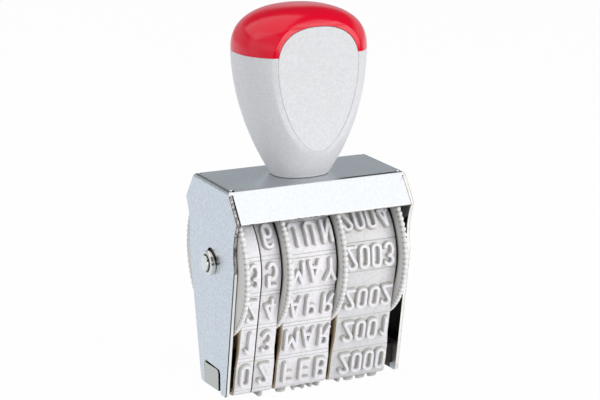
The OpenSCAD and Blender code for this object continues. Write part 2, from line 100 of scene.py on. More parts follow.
class StampBandSettings(bpy.types.PropertyGroup):
    """Sizes of the rubber bands and their type"""

    axle_height: length("Axle height", "Height of the axle above the ground", 32.8)
    wheel_turn: length("Wheel turn", "Radius of the rubber's outer face round a wheel", 14.4)
    sole_turn: length("Sole turn", "Radius of the rubber's outer face at the edges of the sole", 2.0)
    sole_half: length("Sole half", "Half depth of the flat sole", 5.95)
    relief: length("Relief", "Height of the raised type", 1.2)
    rubber: length("Rubber", "Thickness of the rubber under the type", 0.9)
    stroke: length("Stroke", "Width of a character's printing face", 0.62)
    flank: length("Flank", "How much wider a character is at its foot, on each side", 0.34)
    shoulder: length("Shoulder", "Rounding at the edge of a printing face", 0.1)
    ease: length("Ease", "Rounding of a band's edges", 0.2)
    spread: length("Spread", "How far a band spreads sideways at the sole", 0.35)
    spread_from: length("Spread from", "Height under which the bands spread", 13.5)
    groove: length("Groove", "Half width of the grooves between type rows", 0.16)
    groove_depth: length("Groove depth", "Depth of the grooves between type rows", 0.16)


class StampWheelSettings(bpy.types.PropertyGroup):
    """Sizes of the thumbwheels"""

    rib_count: IntProperty(name="Ribs", description="Number of grip beads round a rim", default=86)
    bead: length("Bead", "Depth from the top of a grip bead to the corner of a notch", 0.9)
    rim: length("Rim", "Thickness of the ribbed rim", 1.1)
    waist: length("Waist", "Depth of the rim's side faces under the bead tops", 1.3)
    drum: length("Drum", "Diameter of the drum under a band", 25.3)
    drum_wall: length("Drum wall", "Wall of the drum", 1.6)
    drum_ease: length("Drum ease", "Chamfer at the drum's end", 0.12)
    hub: length("Hub", "Diameter of the hub", 9.0)
    bore: length("Bore", "Diameter of the bore for the axle", 6.0)
    # a rim's face is painted darker between these radii, beside its band
    darkening_low: length("Soil", "Radius at which a rim is darkest, beside its band", 14.4)
    darkening_high: length("Soil end", "Radius at which a rim is clean", 15.3)


class StampHandleSettings(bpy.types.PropertyGroup):
    """Sizes of the palm handle; heights are above the top plate"""

    foot: length("Foot height", "Height of the top plate above the ground", 52.2)
    height: length("Height", "Height of the handle", 40.4)
    width: length("Width", "Largest width of the handle", 32.0)
    widest: length("Widest at", "Height at which the handle is widest", 30.5)
    base_width: length("Base width", "Width at the top plate", 13.8)
    base_depth: length("Base depth", "Depth at the top plate", 11.6)
    base_chamfer: length("Base edge", "Rounding of the edge round the base", 0.5)
    face_depth: length("Face distance", "Distance between the flat front and back faces", 21.6)
    face_width: length("Face width", "Width of the egg-shaped flat faces", 20.5)
    face_low: length("Face low", "Height of the lower tip of the flat faces", 7.2)
    face_mid: length("Face middle", "Height at which the flat faces are widest", 27.5)
    face_top: length("Face top", "Height of the upper end of the flat faces", 36.5)
    bulge_depth: length("Bulge", "Depth that the handle would have without its flat faces", 27.1)
    deepest: length("Deepest at", "Height of that largest depth", 26.0)
    bevel: length("Bevel", "Width of the bevel round the flat faces", 1.3)
    lip: length("Lip", "How far the body swells towards the bevel's outer edge", 0.22)
    lip_reach: length("Lip reach", "Distance from the bevel over which the swelling dies out", 1.8)
    ease: length("Ease", "Rounding of the bevel's outer edge", 0.2)
    groove: length("Line", "Half width of the fine line round the flat faces", 0.12)
    groove_depth: length("Line depth", "Depth of that line", 0.2)
    cap_low: length("Cap low", "Height of the cap's lower edge", 29.9)
    cap_wall: length("Cap wall", "Wall of the cap", 2.0)
    cap_gap: length("Cap gap", "Gap between the cap and the body inside it", 0.1)
    cavity: length("Cavity", "Height of the cavity in the cap", 38.0)
    bore: length("Bore", "Diameter of the bore for the stud", 4.1)
    pocket: length("Pocket", "Diameter of the pocket for the nut", 9.2)
    pocket_low: length("Pocket floor", "Height of that pocket's floor", 24.0)
    core_low: length("Core floor", "Height from which the body is hollow beside the pocket", 16.0)


class StampFinishSettings(bpy.types.PropertyGroup):
    """Colours of the finishes"""

    plate: colour("Nickel", "Nickel plate of the frame", 222, 225, 229)
    # sheared edges: unplated steel, made a matt near white where they aren't metal, in place of their bright
    # reflection
    sheared: colour("Sheared edge", "Bare steel of the frame's sheared edges", 252, 248, 242)
    # the tab's painted reflection: a warmer, darker grey in place of the surroundings that its bent face
    # mirrors
    bare: colour("Bare tab", "Tab where the plating is thin", 194, 192, 184)
    # painted shade inside the frame, in its slits and hole, in the wheels' notches, at the axle's boss foot
    # and on the bands' black sides; it also darkens edge lines and rims beside the bands, and is the own
    # colour of blackened steel and of torn edge streaks
    shadow: colour("Inside", "Darkened inside of the frame", 40, 34, 28)
    steel: colour("Bright steel", "Turned axle", 236, 234, 228)
    plain: colour("Plain steel", "Unplated inner parts", 172, 168, 160)
    wheel: colour("Wheel", "Tops of the thumbwheels' beads", 240, 240, 240)
    # painted shade in the notches between the beads, and partway on the rims' side faces
    dust: colour("Dust", "Dust in the notches of the thumbwheels", 176, 173, 165)
    rubber: colour("Rubber", "Printing faces of the type", 244, 241, 246)
    # painted shade at the feet of the characters and in the grooves, partly the rubber's own grey-green tint
    recess: colour("Recess", "Rubber at the feet of the characters", 180, 182, 174)
    stain: colour("Stain", "Ink and dust along the edges of the bands", 214, 196, 164)
    ply: colour("Ply", "Woven backing of the bands", 196, 172, 134)
    body: colour("Body", "Handle body", 233, 233, 236)
    cap: colour("Cap", "Handle cap", 238, 6, 46)
    floor: colour("Floor", "Floor under the stamp", 244, 244, 244)


class StampStageSettings(bpy.types.PropertyGroup):
    """Camera and light"""

    camera_place: FloatVectorProperty(
        name="Camera place", description="Place of the camera", default=(-0.19457, -0.40943, 0.16404),
        subtype="TRANSLATION", unit="LENGTH",
    )
    azimuth: angle("Azimuth", "Direction of the view round the stamp", -25.439)
    elevation: angle("Elevation", "Angle of the view above the horizon", 14.681)
    roll: angle("Roll", "Tilt of the camera", -0.218)
    lens: FloatProperty(
        name="Lens", description="Focal length in millimetres on a 36 mm sensor", default=117.86
    )
    key: wattage("Key", "Power of the main soft lamp", 6.4)
    panel: wattage("Panel", "Power of the front panel", 2.5)
    fill: wattage("Fill", "Power of the side lamp", 3.9)
    rear: wattage("Rear", "Power of the lamp above the back", 6.0)


class Value:
    """A shader socket that takes part in arithmetic; each operation adds one Math node."""

    def __init__(self, finish, socket):
        self.finish = finish
        self.socket = socket

    def _calc(self, operation, first, second):
        return self.finish.node("ShaderNodeMath", {0: first, 1: second}, operation=operation)

    def __add__(self, other):
        return self._calc("ADD", self, other)

    def __radd__(self, other):
        return self._calc("ADD", other, self)

    def __sub__(self, other):
        return self._calc("SUBTRACT", self, other)

    def __rsub__(self, other):
        return self._calc("SUBTRACT", other, self)

    def __mul__(self, other):
        return self._calc("MULTIPLY", self, other)

    def __rmul__(self, other):
        return self._calc("MULTIPLY", other, self)


class Finish:
    """One procedural material under construction."""

    def __init__(self, name, owner=None):
        self.material = owner or bpy.data.materials.new(name)
        self.material.use_nodes = True
        self.tree = self.material.node_tree
        self.tree.nodes.clear()

    def node(self, kind, sockets=None, output=0, stops=(), **settings):
        """Adds a node, sets it up, feeds its sockets and returns one of its outputs."""
        made = self.tree.nodes.new(kind)
        for name, setting in settings.items():
            setattr(made, name, setting)
        if stops:
            ramp = made.color_ramp.elements
            while len(ramp) < len(stops):
                ramp.new(0.5)
            for element, (position, tint) in zip(ramp, stops):
                element.position = position
                element.color = opaque(tint)
        for key, value in (sockets or {}).items():
            if isinstance(value, Value):
                self.tree.links.new(value.socket, made.inputs[key])
            else:
                made.inputs[key].default_value = value
        return Value(self, made.outputs[output])

    def tint(self, name, scale=1.0):
        """A colour of the finish settings; scale is one factor or one for each channel."""
        return tuple(np.array(getattr(bpy.context.scene.stamp_finish, name)) * scale)

    def mark(self, name):
        """A number that the mesh carries under that name."""
        return self.node("ShaderNodeAttribute", output="Fac", attribute_name=name)

    def ray(self, name):
        """1 for rays of the named kind, else 0."""
        return self.node("ShaderNodeLightPath", output=name)

    def place(self):
        """Coordinates that stay with the piece, in metres."""
        return self.node("ShaderNodeTexCoord", output="Object")

    def axis(self, letter, where=None):
        """One of those coordinates, or one of where."""
        return self.node("ShaderNodeSeparateXYZ", {0: where or self.place()}, letter)

    def noise(self, scale, detail=3.0, rough=0.55):
        """Soft noise from 0 to 1; scale is in features per metre, for all axes or for each one."""
        where = self.place()
        if isinstance(scale, tuple):
            where, scale = self.node("ShaderNodeMapping", {"Vector": where, "Scale": scale}), 1.0
        return self.node(
            "ShaderNodeTexNoise", {"Vector": where, "Scale": scale, "Detail": detail, "Roughness": rough}
        )

    def fade(self, value, low, high):
        """value brought from low..high to 0..1 and clamped."""
        return self.node(
            "ShaderNodeMapRange", {"Value": value, "From Min": low, "From Max": high}, clamp=True
        )

    def blend(self, factor, first, second):
        """A colour between first and second."""
        colours = {0: factor, 6: opaque(first), 7: opaque(second)}
        return self.node("ShaderNodeMix", colours, 2, data_type="RGBA")

    def bump(self, height, distance):
        """A normal that follows height; distance is its depth in metres."""
        return self.node("ShaderNodeBump", {"Height": height, "Distance": distance, "Strength": 1.0})

    def surface(self, **sockets):
        """Ends the material in one Principled shader; names use _ for spaces."""
        named = {key.replace("_", " "): opaque(value) for key, value in sockets.items()}
        self.close(self.node("ShaderNodeBsdfPrincipled", named))
        return self.material

    def close(self, shader):
        """Joins a shader to the material's or world's output."""
        world = isinstance(self.material, bpy.types.World)
        made = self.tree.nodes.new("ShaderNodeOutputWorld" if world else "ShaderNodeOutputMaterial")
        self.tree.links.new(shader.socket, made.inputs["Surface"])


def opaque(value):
    """A colour of three numbers with full alpha; anything else as it is."""
    if isinstance(value, (Value, int, float)):
        return value
    return (*value, 1.0) if len(value) == 3 else tuple(value)


def nickel_finish():
    """Satin nickel plate with a fine grain on the side plates; sheared edges of unplated steel, mostly matt
    near white in place of their bright reflection; a painted reflection on the tab; painted shade inside the
    frame and in its slits and hole; dark lines painted along edges.
    """
    f = Finish("nickel_plate")
    sheared, inside, slit, bare = (f.mark(name) for name in STAMP_OT_frame.MARKS)
    across, height = f.axis("X"), f.axis("Z")
    grain, cloud = f.noise(1500.0, 3.0, 0.6), f.noise(90.0)
    marks = f.fade(f.noise((260.0, 900.0, 3600.0), 5.0, 0.7), 0.62, 0.78)
    flank = f.fade(across * across, (22.3 * MM) ** 2, (22.7 * MM) ** 2)
    tooth = (f.fade(f.noise(2600.0, 2.0, 0.6), 0.40, 0.60) - 0.5) * (0.25 + 0.95 * flank)
    worn = f.fade(grain, 0.30, 0.70) * 0.2 + 0.3 + 0.6 * tooth + 0.1 * cloud + 0.1 * marks
    # the tab's outer face gets a painted reflection
    plated = f.blend(bare, f.blend(worn, f.tint("plate"), f.tint("plate", 0.78)), f.tint("bare"))
    torn = f.fade(f.noise((1500.0, 1500.0, 700.0), 4.0, 0.7), 0.42, 0.56)
    left = f.fade(across, MM, -MM)
    upper = f.fade(height, 33.0 * MM, 33.5 * MM) * left
    ragged = torn * 0.6 * upper + torn * 0.1 * (1.0 - left) + 0.3 * upper
    edged = f.blend(sheared, plated, f.blend(ragged, f.tint("sheared"), f.tint("shadow")))
    # painted shade on the frame's inward faces, between about 9 and 45 mm up
    shade_band = f.fade(height + 2.0 * MM * cloud, 8.5 * MM, 10.5 * MM)
    shade_band = shade_band * (1.0 - f.fade(height, 44.5 * MM, 45.5 * MM))
    return f.surface(
        Base_Color=f.blend(f.fade(inside * shade_band + slit, 0.0, 1.0), edged, f.tint("shadow")),
        # sheared edges are matt, save the chamfered lower left strip, which mirrors the floor; their near
        # white stands in for a bright reflection
        Metallic=1.0 - 0.92 * sheared * (1.0 - (left - upper)),
        Roughness=0.17 + 0.06 * cloud + 0.10 * grain + 0.20 * sheared + 0.3 * inside,
        Normal=f.bump(grain, 0.016 * MM),
    )


def steel_finish():
    """Bright turned steel with fine lathe rings, with painted shade at the foot of its boss."""
    f = Finish("turned_steel")
    rings = f.noise((9000.0, 90.0, 90.0), 2.0, 0.5)
    clean = f.blend(rings, f.tint("steel"), f.tint("steel", 0.82))
    return f.surface(
        # painted shade where the lift is low, at the foot of the boss
        Base_Color=f.blend(f.fade(f.mark("lift"), 0.6, -0.4), clean, f.tint("shadow")),
        Metallic=1.0,
        Roughness=0.12 + 0.10 * rings,
        Normal=f.bump(rings, 0.006 * MM),
    )


def plain_steel_finish():
    """Unplated steel with a dull, slightly oily skin."""
    f = Finish("plain_steel")
    cloud = f.noise(320.0, 4.0, 0.6)
    return f.surface(
        Base_Color=f.blend(cloud, f.tint("plain"), f.tint("plain", (0.70, 0.64, 0.54))),
        Metallic=1.0,
        Roughness=0.34 + 0.2 * cloud,
        Normal=f.bump(f.noise(3200.0), 0.01 * MM),
    )


def black_steel_finish():
    """Blackened steel, a little rubbed."""
    f = Finish("black_steel")
    rubbed = f.noise(240.0, 4.0, 0.6)
    return f.surface(
        Base_Color=f.blend(rubbed, f.tint("shadow"), f.tint("shadow", 1.9)),
        Metallic=0.6,
        Roughness=0.42 + 0.2 * rubbed,
    )


def wheel_finish():
    """Pale moulded plastic with a fine matt grain; painted shade in the notches and partway on the rim's
    side faces, and darker beside the bands.
    """
    f = Finish("wheel_plastic")
    lift, grain, cloud = f.mark("lift"), f.noise(3000.0), f.noise(140.0)
    notch_shaded = f.blend(f.fade(lift + 0.15 * cloud, 0.1, 0.9), f.tint("dust"), f.tint("wheel"))
    return f.surface(
        Base_Color=f.blend(f.fade(lift, 0.1, -0.5), notch_shaded, f.tint("shadow")),
        Roughness=0.5 + 0.15 * grain,
        Normal=f.bump(grain, 0.014 * MM),
    )


def rubber_finish():
    """Moulded rubber: pale printing faces; painted shade, greyer and slightly green, at the feet of the type
    and in the grooves; ink stains; black painted shade on the sides between bands.
    """
    f = Finish("type_rubber")
    lift, grain, cloud = f.mark("lift"), f.noise(2400.0), f.noise(210.0, 4.0, 0.6)
    specks = f.fade(f.noise(900.0, 2.0, 0.5), 0.70, 0.78)
    grit = f.fade(f.noise(1300.0, 5.0, 0.75), 0.50, 0.68)
    raised = f.fade(lift + 0.2 * cloud - 0.1, 0.0, 0.9) * (1.0 - 0.4 * grit)
    worn = f.fade(0.35 * cloud - lift, 0.1, 0.45)
    # painted shade towards the feet of the type, where the lift is low
    clean = f.blend(raised, f.tint("recess"), f.tint("rubber"))
    soiled = f.blend(specks * (1.0 - lift) * 0.5 + worn, clean, f.tint("stain"))
    return f.surface(
        # black painted shade on the band sides that face a neighbouring band
        Base_Color=f.blend(f.fade(lift, -0.5, -0.9), soiled, f.tint("shadow")),
        Roughness=0.55 + 0.2 * grain,
        Normal=f.bump(grain + 0.5 * cloud, 0.02 * MM),
    )


def ply_finish():
    """Woven cotton backing, browned with use."""
    f = Finish("band_ply")
    warp, weft = (
        f.node(
            "ShaderNodeTexWave", {"Vector": f.place(), "Scale": 620.0, "Distortion": 1.5, "Detail": 1.0},
            bands_direction=letter,
        )
        for letter in "XZ"
    )
    stain = f.fade(f.noise(160.0, 4.0, 0.65), 0.35, 0.7)
    return f.surface(
        Base_Color=f.blend(stain, f.tint("ply"), f.tint("ply", (0.40, 0.34, 0.28))),
        Roughness=0.85,
        Normal=f.bump(warp * weft, 0.06 * MM),
    )


def body_finish():
    """Pale grey satin plastic with a spark-eroded grain."""
    f = Finish("handle_plastic")
    grain, cloud = f.noise(2600.0, 2.0, 0.6), f.noise(70.0)
    specks = f.fade(f.noise(2000.0, 1.0), 0.30, 0.70)
    return f.surface(
        Base_Color=f.blend(0.2 * cloud + 0.8 * specks, f.tint("body"), f.tint("body", 0.88)),
        Roughness=0.42 + 0.14 * grain,
        Normal=f.bump(grain + specks, 0.02 * MM),
    )


def cap_finish():
    """Glossy red plastic with a faint moulding ripple."""
    f = Finish("cap_plastic")
    ripple, grain = f.noise(120.0, 2.0), f.noise(2600.0)
    return f.surface(
        Base_Color=f.blend(0.6 * ripple, f.tint("cap"), f.tint("cap", 0.86)),
        Roughness=0.14 + 0.08 * grain,
        Specular_IOR_Level=0.42,
        Normal=f.bump(grain + ripple, 0.006 * MM),
    )


def shown(name, mesh):
    """A new object in the scene."""
    made = bpy.data.objects.new(name, mesh)
    bpy.context.scene.collection.objects.link(made)
    return made


def piece(name, vertices, faces, lift, finish, replaced, sharp, body=ROOT_BODY):
    """Makes a mesh piece that stands for the CAD nodes in replaced; lift is a number for each vertex, low
    where the finishes paint shade, and on the bands also stain.
    """
    mesh = bpy.data.meshes.new(name)
    mesh.from_pydata(vertices, [], faces)
    if mesh.validate():
        raise RuntimeError(f"{name} has faces that can't be used")
    mesh.attributes.new("lift", "FLOAT", "POINT").data.foreach_set("value", np.asarray(lift, np.float32))
    settle(shown(name, mesh), finish, replaced, sharp, body)


def settle(made, finish, replaced, sharp, body=ROOT_BODY):
    """Gives a piece its finish, shading and body and hides the CAD nodes that it replaces; sharp is an angle
    in degrees.
    """
    made.data.materials.clear()
    made.data.materials.append(finish)
    made.data.shade_smooth()
    made.data.set_sharp_from_angle(angle=math.radians(sharp))
    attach(made, body)
    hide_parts(*replaced)
    return made


def crisp(made):
    """Lets large faces keep their own normals beside narrow eased edges."""
    step = made.modifiers.new("face normals", "WEIGHTED_NORMAL")
    step.keep_sharp = True


def dress(node, finish):
    """Gives a CAD node that stays in view its finish."""
    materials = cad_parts[node].data.materials
    materials.clear()
    materials.append(finish)


def quads(rings, count):
    """Faces between neighbouring rings of count vertices each, from the last ring to the first as well."""
    faces = []
    for i in range(rings):
        j = (i + 1) % rings
        for k in range(count):
            n = (k + 1) % count
            faces.append((i * count + k, i * count + n, j * count + n, j * count + k))
    return faces


def turned(sections, centre):
    """Vertices and faces of closed sections (angle, [(x, radius), ...]) set round the axle."""
    vertices = [
        (x, r * math.cos(turn), centre + r * math.sin(turn))
        for turn, outline in sections for x, r in outline
    ]
    return vertices, quads(len(sections), len(sections[0][1]))


class STAMP_OT_frame(bpy.types.Operator):
    """Eases the edges of the bent sheet and plates it"""

    bl_idname = "stamp.frame"
    bl_label = "Sheet Frame"

    # marks: sheared edges, painted shade on the inside, painted shade in slits, the hole and edge lines, and
    # the tab's painted reflection
    MARKS = ("sheared", "inside", "slit", "bare")
    SHEET = 0.8 * MM
    # tolerances: double vertices, lengths and straight runs
    MERGE, NEAR, CLOSE, STRAIGHT = 0.002 * MM, 0.01 * MM, 0.05 * MM, math.radians(1.0)
    HOOD_LOW, ROOF_EDGE = 40.0 * MM, 1.1 * MM
    SLIT, SLIT_LEFT = 0.25 * MM, 0.03 * MM
    CHAMFER, CHAMFER_TOP = 0.25 * MM, 34.0 * MM
    CORNER, FOLD_LENGTH = math.radians(28.0), 20.0 * MM
    # width and segments of the roundings
    CORNER_EASE, FOLD_EASE = (0.11 * MM, 2), (0.4 * MM, 5)
    HOLE = 4.3 * MM
    TAB_FRONT, TAB_BACK, TAB_LOW, TAB_TOP = -4.6 * MM, 5.0 * MM, 0.1 * MM, 6.2 * MM
    # width and tones of the dark lines painted along the edges; across the chamfer they go from 1 to the
    # tone past the line
    BURR, BURR_TONE, PAST_BURR, SLIT_TONE = 0.2 * MM, 0.85, -2.0, 0.2
    # limits for the parts of a face's normal: along an axis, out of the frame and to the front or back
    STEEP, HANGING = 0.7, -0.3
    OUTER_FACE, INNER_FACE, BURR_OUT, BURR_BY_CHAMFER, CHAMFER_OUT = 0.97, -0.6, 0.3, 0.5, 0.2
    FLAP_EDGE, BURR_FORWARD, CHAMFER_FORWARD = 0.2, 0.1, 0.5

    def execute(self, context):
        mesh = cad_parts["frame"].data.copy()
        mesh.name = "frame_sheet"
        b = bmesh.new()
        b.from_mesh(mesh)
        bmesh.ops.remove_doubles(b, verts=b.verts, dist=self.MERGE)
        bmesh.ops.dissolve_limit(b, angle_limit=self.STRAIGHT, verts=b.verts, edges=b.edges)
        b.normal_update()
        box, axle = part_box("frame"), context.scene.stamp_bands.axle_height
        self.trim(b, box)
        self.ease(b, box[1][2])
        bmesh.ops.triangulate(b, faces=[f for f in b.faces if len(f.verts) > 4])
        b.to_mesh(mesh)
        b.free()
        marks = []
        for face in mesh.polygons:
            mark = self.mark(box, axle, face.center, face.normal)
            for k in face.vertices:
                # a dark line painted along the chamfer's outer edge
                edge_tone = 1.0 if mesh.vertices[k].co.x < box[0][0] + self.BURR else self.PAST_BURR
                marks.append({**mark, "slit": edge_tone} if "chamfer" in mark else mark)
        for name in self.MARKS:
            values = np.array([mark.get(name, 0.0) for mark in marks], np.float32)
            mesh.attributes.new(name, "FLOAT", "CORNER").data.foreach_set("value", values)
        made = shown("frame_sheet", mesh)
        crisp(settle(made, nickel_finish(), ["frame"], sharp=32.0))
        return {"FINISHED"}

    def trim(self, b, box):
        """Closes the slit at the right end of the hood and chamfers the left plate's outer front edge."""
        wall = box[1][0] - self.SHEET
        for v in b.verts:
            if v.co.z > self.HOOD_LOW and abs(wall - v.co.x - self.SLIT) < self.CLOSE:
                v.co.x = wall - self.SLIT_LEFT
            outer = v.co.x < box[0][0] + self.CLOSE and v.co.z < self.CHAMFER_TOP
            if outer and any(face.normal.y < -self.STEEP for face in v.link_faces):
                v.co.y += self.CHAMFER

    def ease(self, b, roof):
        """Rounds all corners a little, and the long folds of the hood more."""
        corners = [e for e in b.edges if e.is_manifold and e.calc_face_angle(0.0) > self.CORNER]
        folds, rest = [], []
        for e in corners:
            p, q = (v.co for v in e.verts)
            long = min(p.z, q.z) > roof - self.NEAR and abs(p.x - q.x) > self.FOLD_LENGTH
            (folds if long else rest).append(e)
        for edges, (offset, segments) in ((rest, self.CORNER_EASE), (folds, self.FOLD_EASE)):
            bmesh.ops.bevel(
                b, geom=[e for e in edges if e.is_valid], offset=offset, offset_type="OFFSET",
                segments=segments, profile=0.5, affect="EDGES", clamp_overlap=False,
            )

    def mark(self, box, axle, centre, normal):
        """How far a face is sheared, gets painted shade inside or in a slit, hole or edge line, gets the
        tab's painted reflection, or belongs to the chamfer.
        """
        low, high = box
        side, outward = abs(centre.x), normal.x * math.copysign(1.0, centre.x)
        forward = normal.y * math.copysign(1.0, centre.y)
        if centre.z > self.HOOD_LOW and side < high[0] - self.SHEET - self.NEAR:
            # walls at the ends under the hood get painted shade, weaker on the right
            if abs(normal.x) > self.STEEP:
                return {"slit": 1.0 if centre.x < 0.0 else self.SLIT_TONE}
            # under the hood, a hanging face is a sheared edge at the front, else it gets painted shade
            if normal.z < self.HANGING:
                return {"sheared": 1.0} if forward > self.FLAP_EDGE else {"inside": 1.0}
            return {}
        if centre.z > high[2] - self.ROOF_EDGE:
            return {}
        above = centre.z - low[2]
        hole = math.hypot(centre.y, centre.z - axle) < self.HOLE
        tab = self.TAB_FRONT < centre.y < self.TAB_BACK and self.TAB_LOW < above < self.TAB_TOP
        if outward > self.OUTER_FACE:
            # the tab's outer face gets the painted reflection
            return {"bare": 1.0} if tab and side < high[0] - self.NEAR else {}
        # the walls of the axle's hole and of the tab's cut get painted shade
        if hole or tab:
            return {"slit": 1.0}
        chamfered = centre.x < 0.0 and centre.z < self.CHAMFER_TOP
        # dark lines painted along the outer front edges, darkest beside the chamfer
        if outward > (self.BURR_BY_CHAMFER if chamfered else self.BURR_OUT):
            return {"slit": 1.0 if chamfered else self.BURR_TONE} if forward > self.BURR_FORWARD else {}
        if chamfered and outward > self.CHAMFER_OUT and forward > self.CHAMFER_FORWARD:
            return {"sheared": 1.0, "chamfer": 1.0}
        # inward faces get painted shade; the other faces are sheared edges
        return {"inside": 1.0} if outward < self.INNER_FACE else {"sheared": 1.0}


class STAMP_OT_axle(bpy.types.Operator):
    """Turns the axle with rounded ends and grooves"""

    bl_idname = "stamp.axle"
    bl_label = "Axle"

    STEPS = 72
    # distances from the end and radius of the groove, in millimetres
    FACE, GROOVE_OUT, GROOVE_IN, NECK = 0.55, 1.85, 2.75, 2.5
    # points of the profile at the foot of the boss, which get painted shade
    BOSS_FOOT, SOIL_LIFT = (6, 7), -0.6

    def execute(self, context):
        low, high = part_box("axle")
        end, radius = high[0] / MM, (high[2] - low[2]) / 2.0 / MM
        face, out, back = end - self.FACE, end - self.GROOVE_OUT, end - self.GROOVE_IN
        nose = [
            (end - 0.12, 0.02), (end - 0.12, 0.14), (end - 0.01, 0.24), (end, 0.34), (end, 1.74),
            (end - 0.04, 1.86), (face + 0.03, 1.92), (face, 2.0), (face, radius - 0.36),
            (face - 0.07, radius - 0.18), (face - 0.18, radius - 0.05), (face - 0.34, radius),
            (out + 0.12, radius), (out, radius - 0.1), (out, self.NECK), (back, self.NECK),
            (back, radius - 0.1), (back - 0.1, radius),
        ]
        profile = [(x * MM, r * MM) for x, r in nose + [(-x, r) for x, r in reversed(nose)]]
        turns = [2.0 * math.pi * i / self.STEPS for i in range(self.STEPS)]
        vertices, faces = turned([(turn, profile) for turn in turns], (high[2] + low[2]) / 2.0)
        count = len(profile)
        last = count - 1
        faces = [f for f in faces if {f[0] % count, f[1] % count} != {0, last}]
        faces.append(tuple(i * count for i in reversed(range(self.STEPS))))
        faces.append(tuple(i * count + last for i in range(self.STEPS)))
        boss_shade = [self.SOIL_LIFT if k in self.BOSS_FOOT else 1.0 for k in range(len(nose))]
        lift = (boss_shade + boss_shade[::-1]) * self.STEPS
        piece("axle_pin", vertices, faces, lift, steel_finish(), ["axle"], sharp=40.0)
        return {"FINISHED"}


class STAMP_OT_wheels(bpy.types.Operator):
    """Moulds the four thumbwheels with beaded rims"""

    bl_idname = "stamp.wheels"
    bl_label = "Thumbwheels"

    # places along a bead and across the rim at which its rounding is sampled
    ALONG = (0.03, 0.14, 0.32, 0.5, 0.68, 0.86, 0.97)
    ACROSS = (-1.0, -0.93, -0.75, -0.4, 0.0, 0.4, 0.75, 0.93, 1.0)
    ROUND_ACROSS, ROUND_ALONG = 0.64, 0.72
    # the rim's side faces are painted partway into shade; the face beside the band is painted darker
    FACE_LIFT, SOIL_LIFT = 0.5, -0.6

    def execute(self, context):
        finish = wheel_finish()
        for name, side in (("tens", 1), ("units", -1), ("month", -1), ("year", -1)):
            self.wheel(context.scene.stamp_wheels, finish, name, side)
        return {"FINISHED"}

    def wheel(self, size, finish, name, side):
        """side is the direction from the rim to the drum along X."""
        low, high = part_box(name + "_wheel")
        radius = (high[2] - low[2]) / 2.0
        outer, far = (low[0], high[0]) if side > 0 else (high[0], low[0])
        inner = outer + side * size.rim
        drum, hub, bore = size.drum / 2.0, size.hub / 2.0, size.bore / 2.0
        waist, ease, hollow = radius - size.waist, size.drum_ease, drum - size.drum_wall
        rim = [(outer + side * size.rim * (u + 1.0) / 2.0, radius) for u in self.ACROSS]
        plain = [
            (inner, waist), (inner, size.darkening_high), (inner, size.darkening_low), (inner, drum),
            (far - side * ease, drum), (far, drum - ease), (far, hollow), (inner, hollow), (inner, hub),
            (far, hub), (far, bore), (outer, bore), (outer, waist),
        ]
        face_lift = [self.SOIL_LIFT if r == size.darkening_low else self.FACE_LIFT for _, r in plain]
        sections, lift = [], []
        for bead in range(size.rib_count):
            for share in self.ALONG:
                falls = [self.fall(u, 2.0 * share - 1.0) for u in self.ACROSS]
                beaded = [(x, r - size.bead * fall) for (x, r), fall in zip(rim, falls)]
                sections.append((2.0 * math.pi / size.rib_count * (bead + share), beaded + plain))
                lift += [1.0 - fall for fall in falls] + face_lift
        vertices, faces = turned(sections, (low[2] + high[2]) / 2.0)
        piece(
            name + "_thumbwheel", vertices, faces if side > 0 else [f[::-1] for f in faces], lift, finish,
            [name + "_wheel"], sharp=50.0, body=name + "_wheel",
        )

    def fall(self, u, v):
        """How far the surface of a bead lies under its top, at u across and v along it, each -1 to 1."""
        return 1.0 - math.sqrt(max(0.0, 1.0 - self.ROUND_ACROSS * u * u - self.ROUND_ALONG * v * v))


def bow(x, y, rx, ry, start, end):
    """Points on an elliptical arc, in millimetres, about 15 degrees apart; angles are in degrees."""
    count = max(3, round(abs(end - start) / 15.0))
    turns = np.radians(np.linspace(start, end, count + 1))
    return [(x + rx * math.cos(t), y + ry * math.sin(t)) for t in turns]


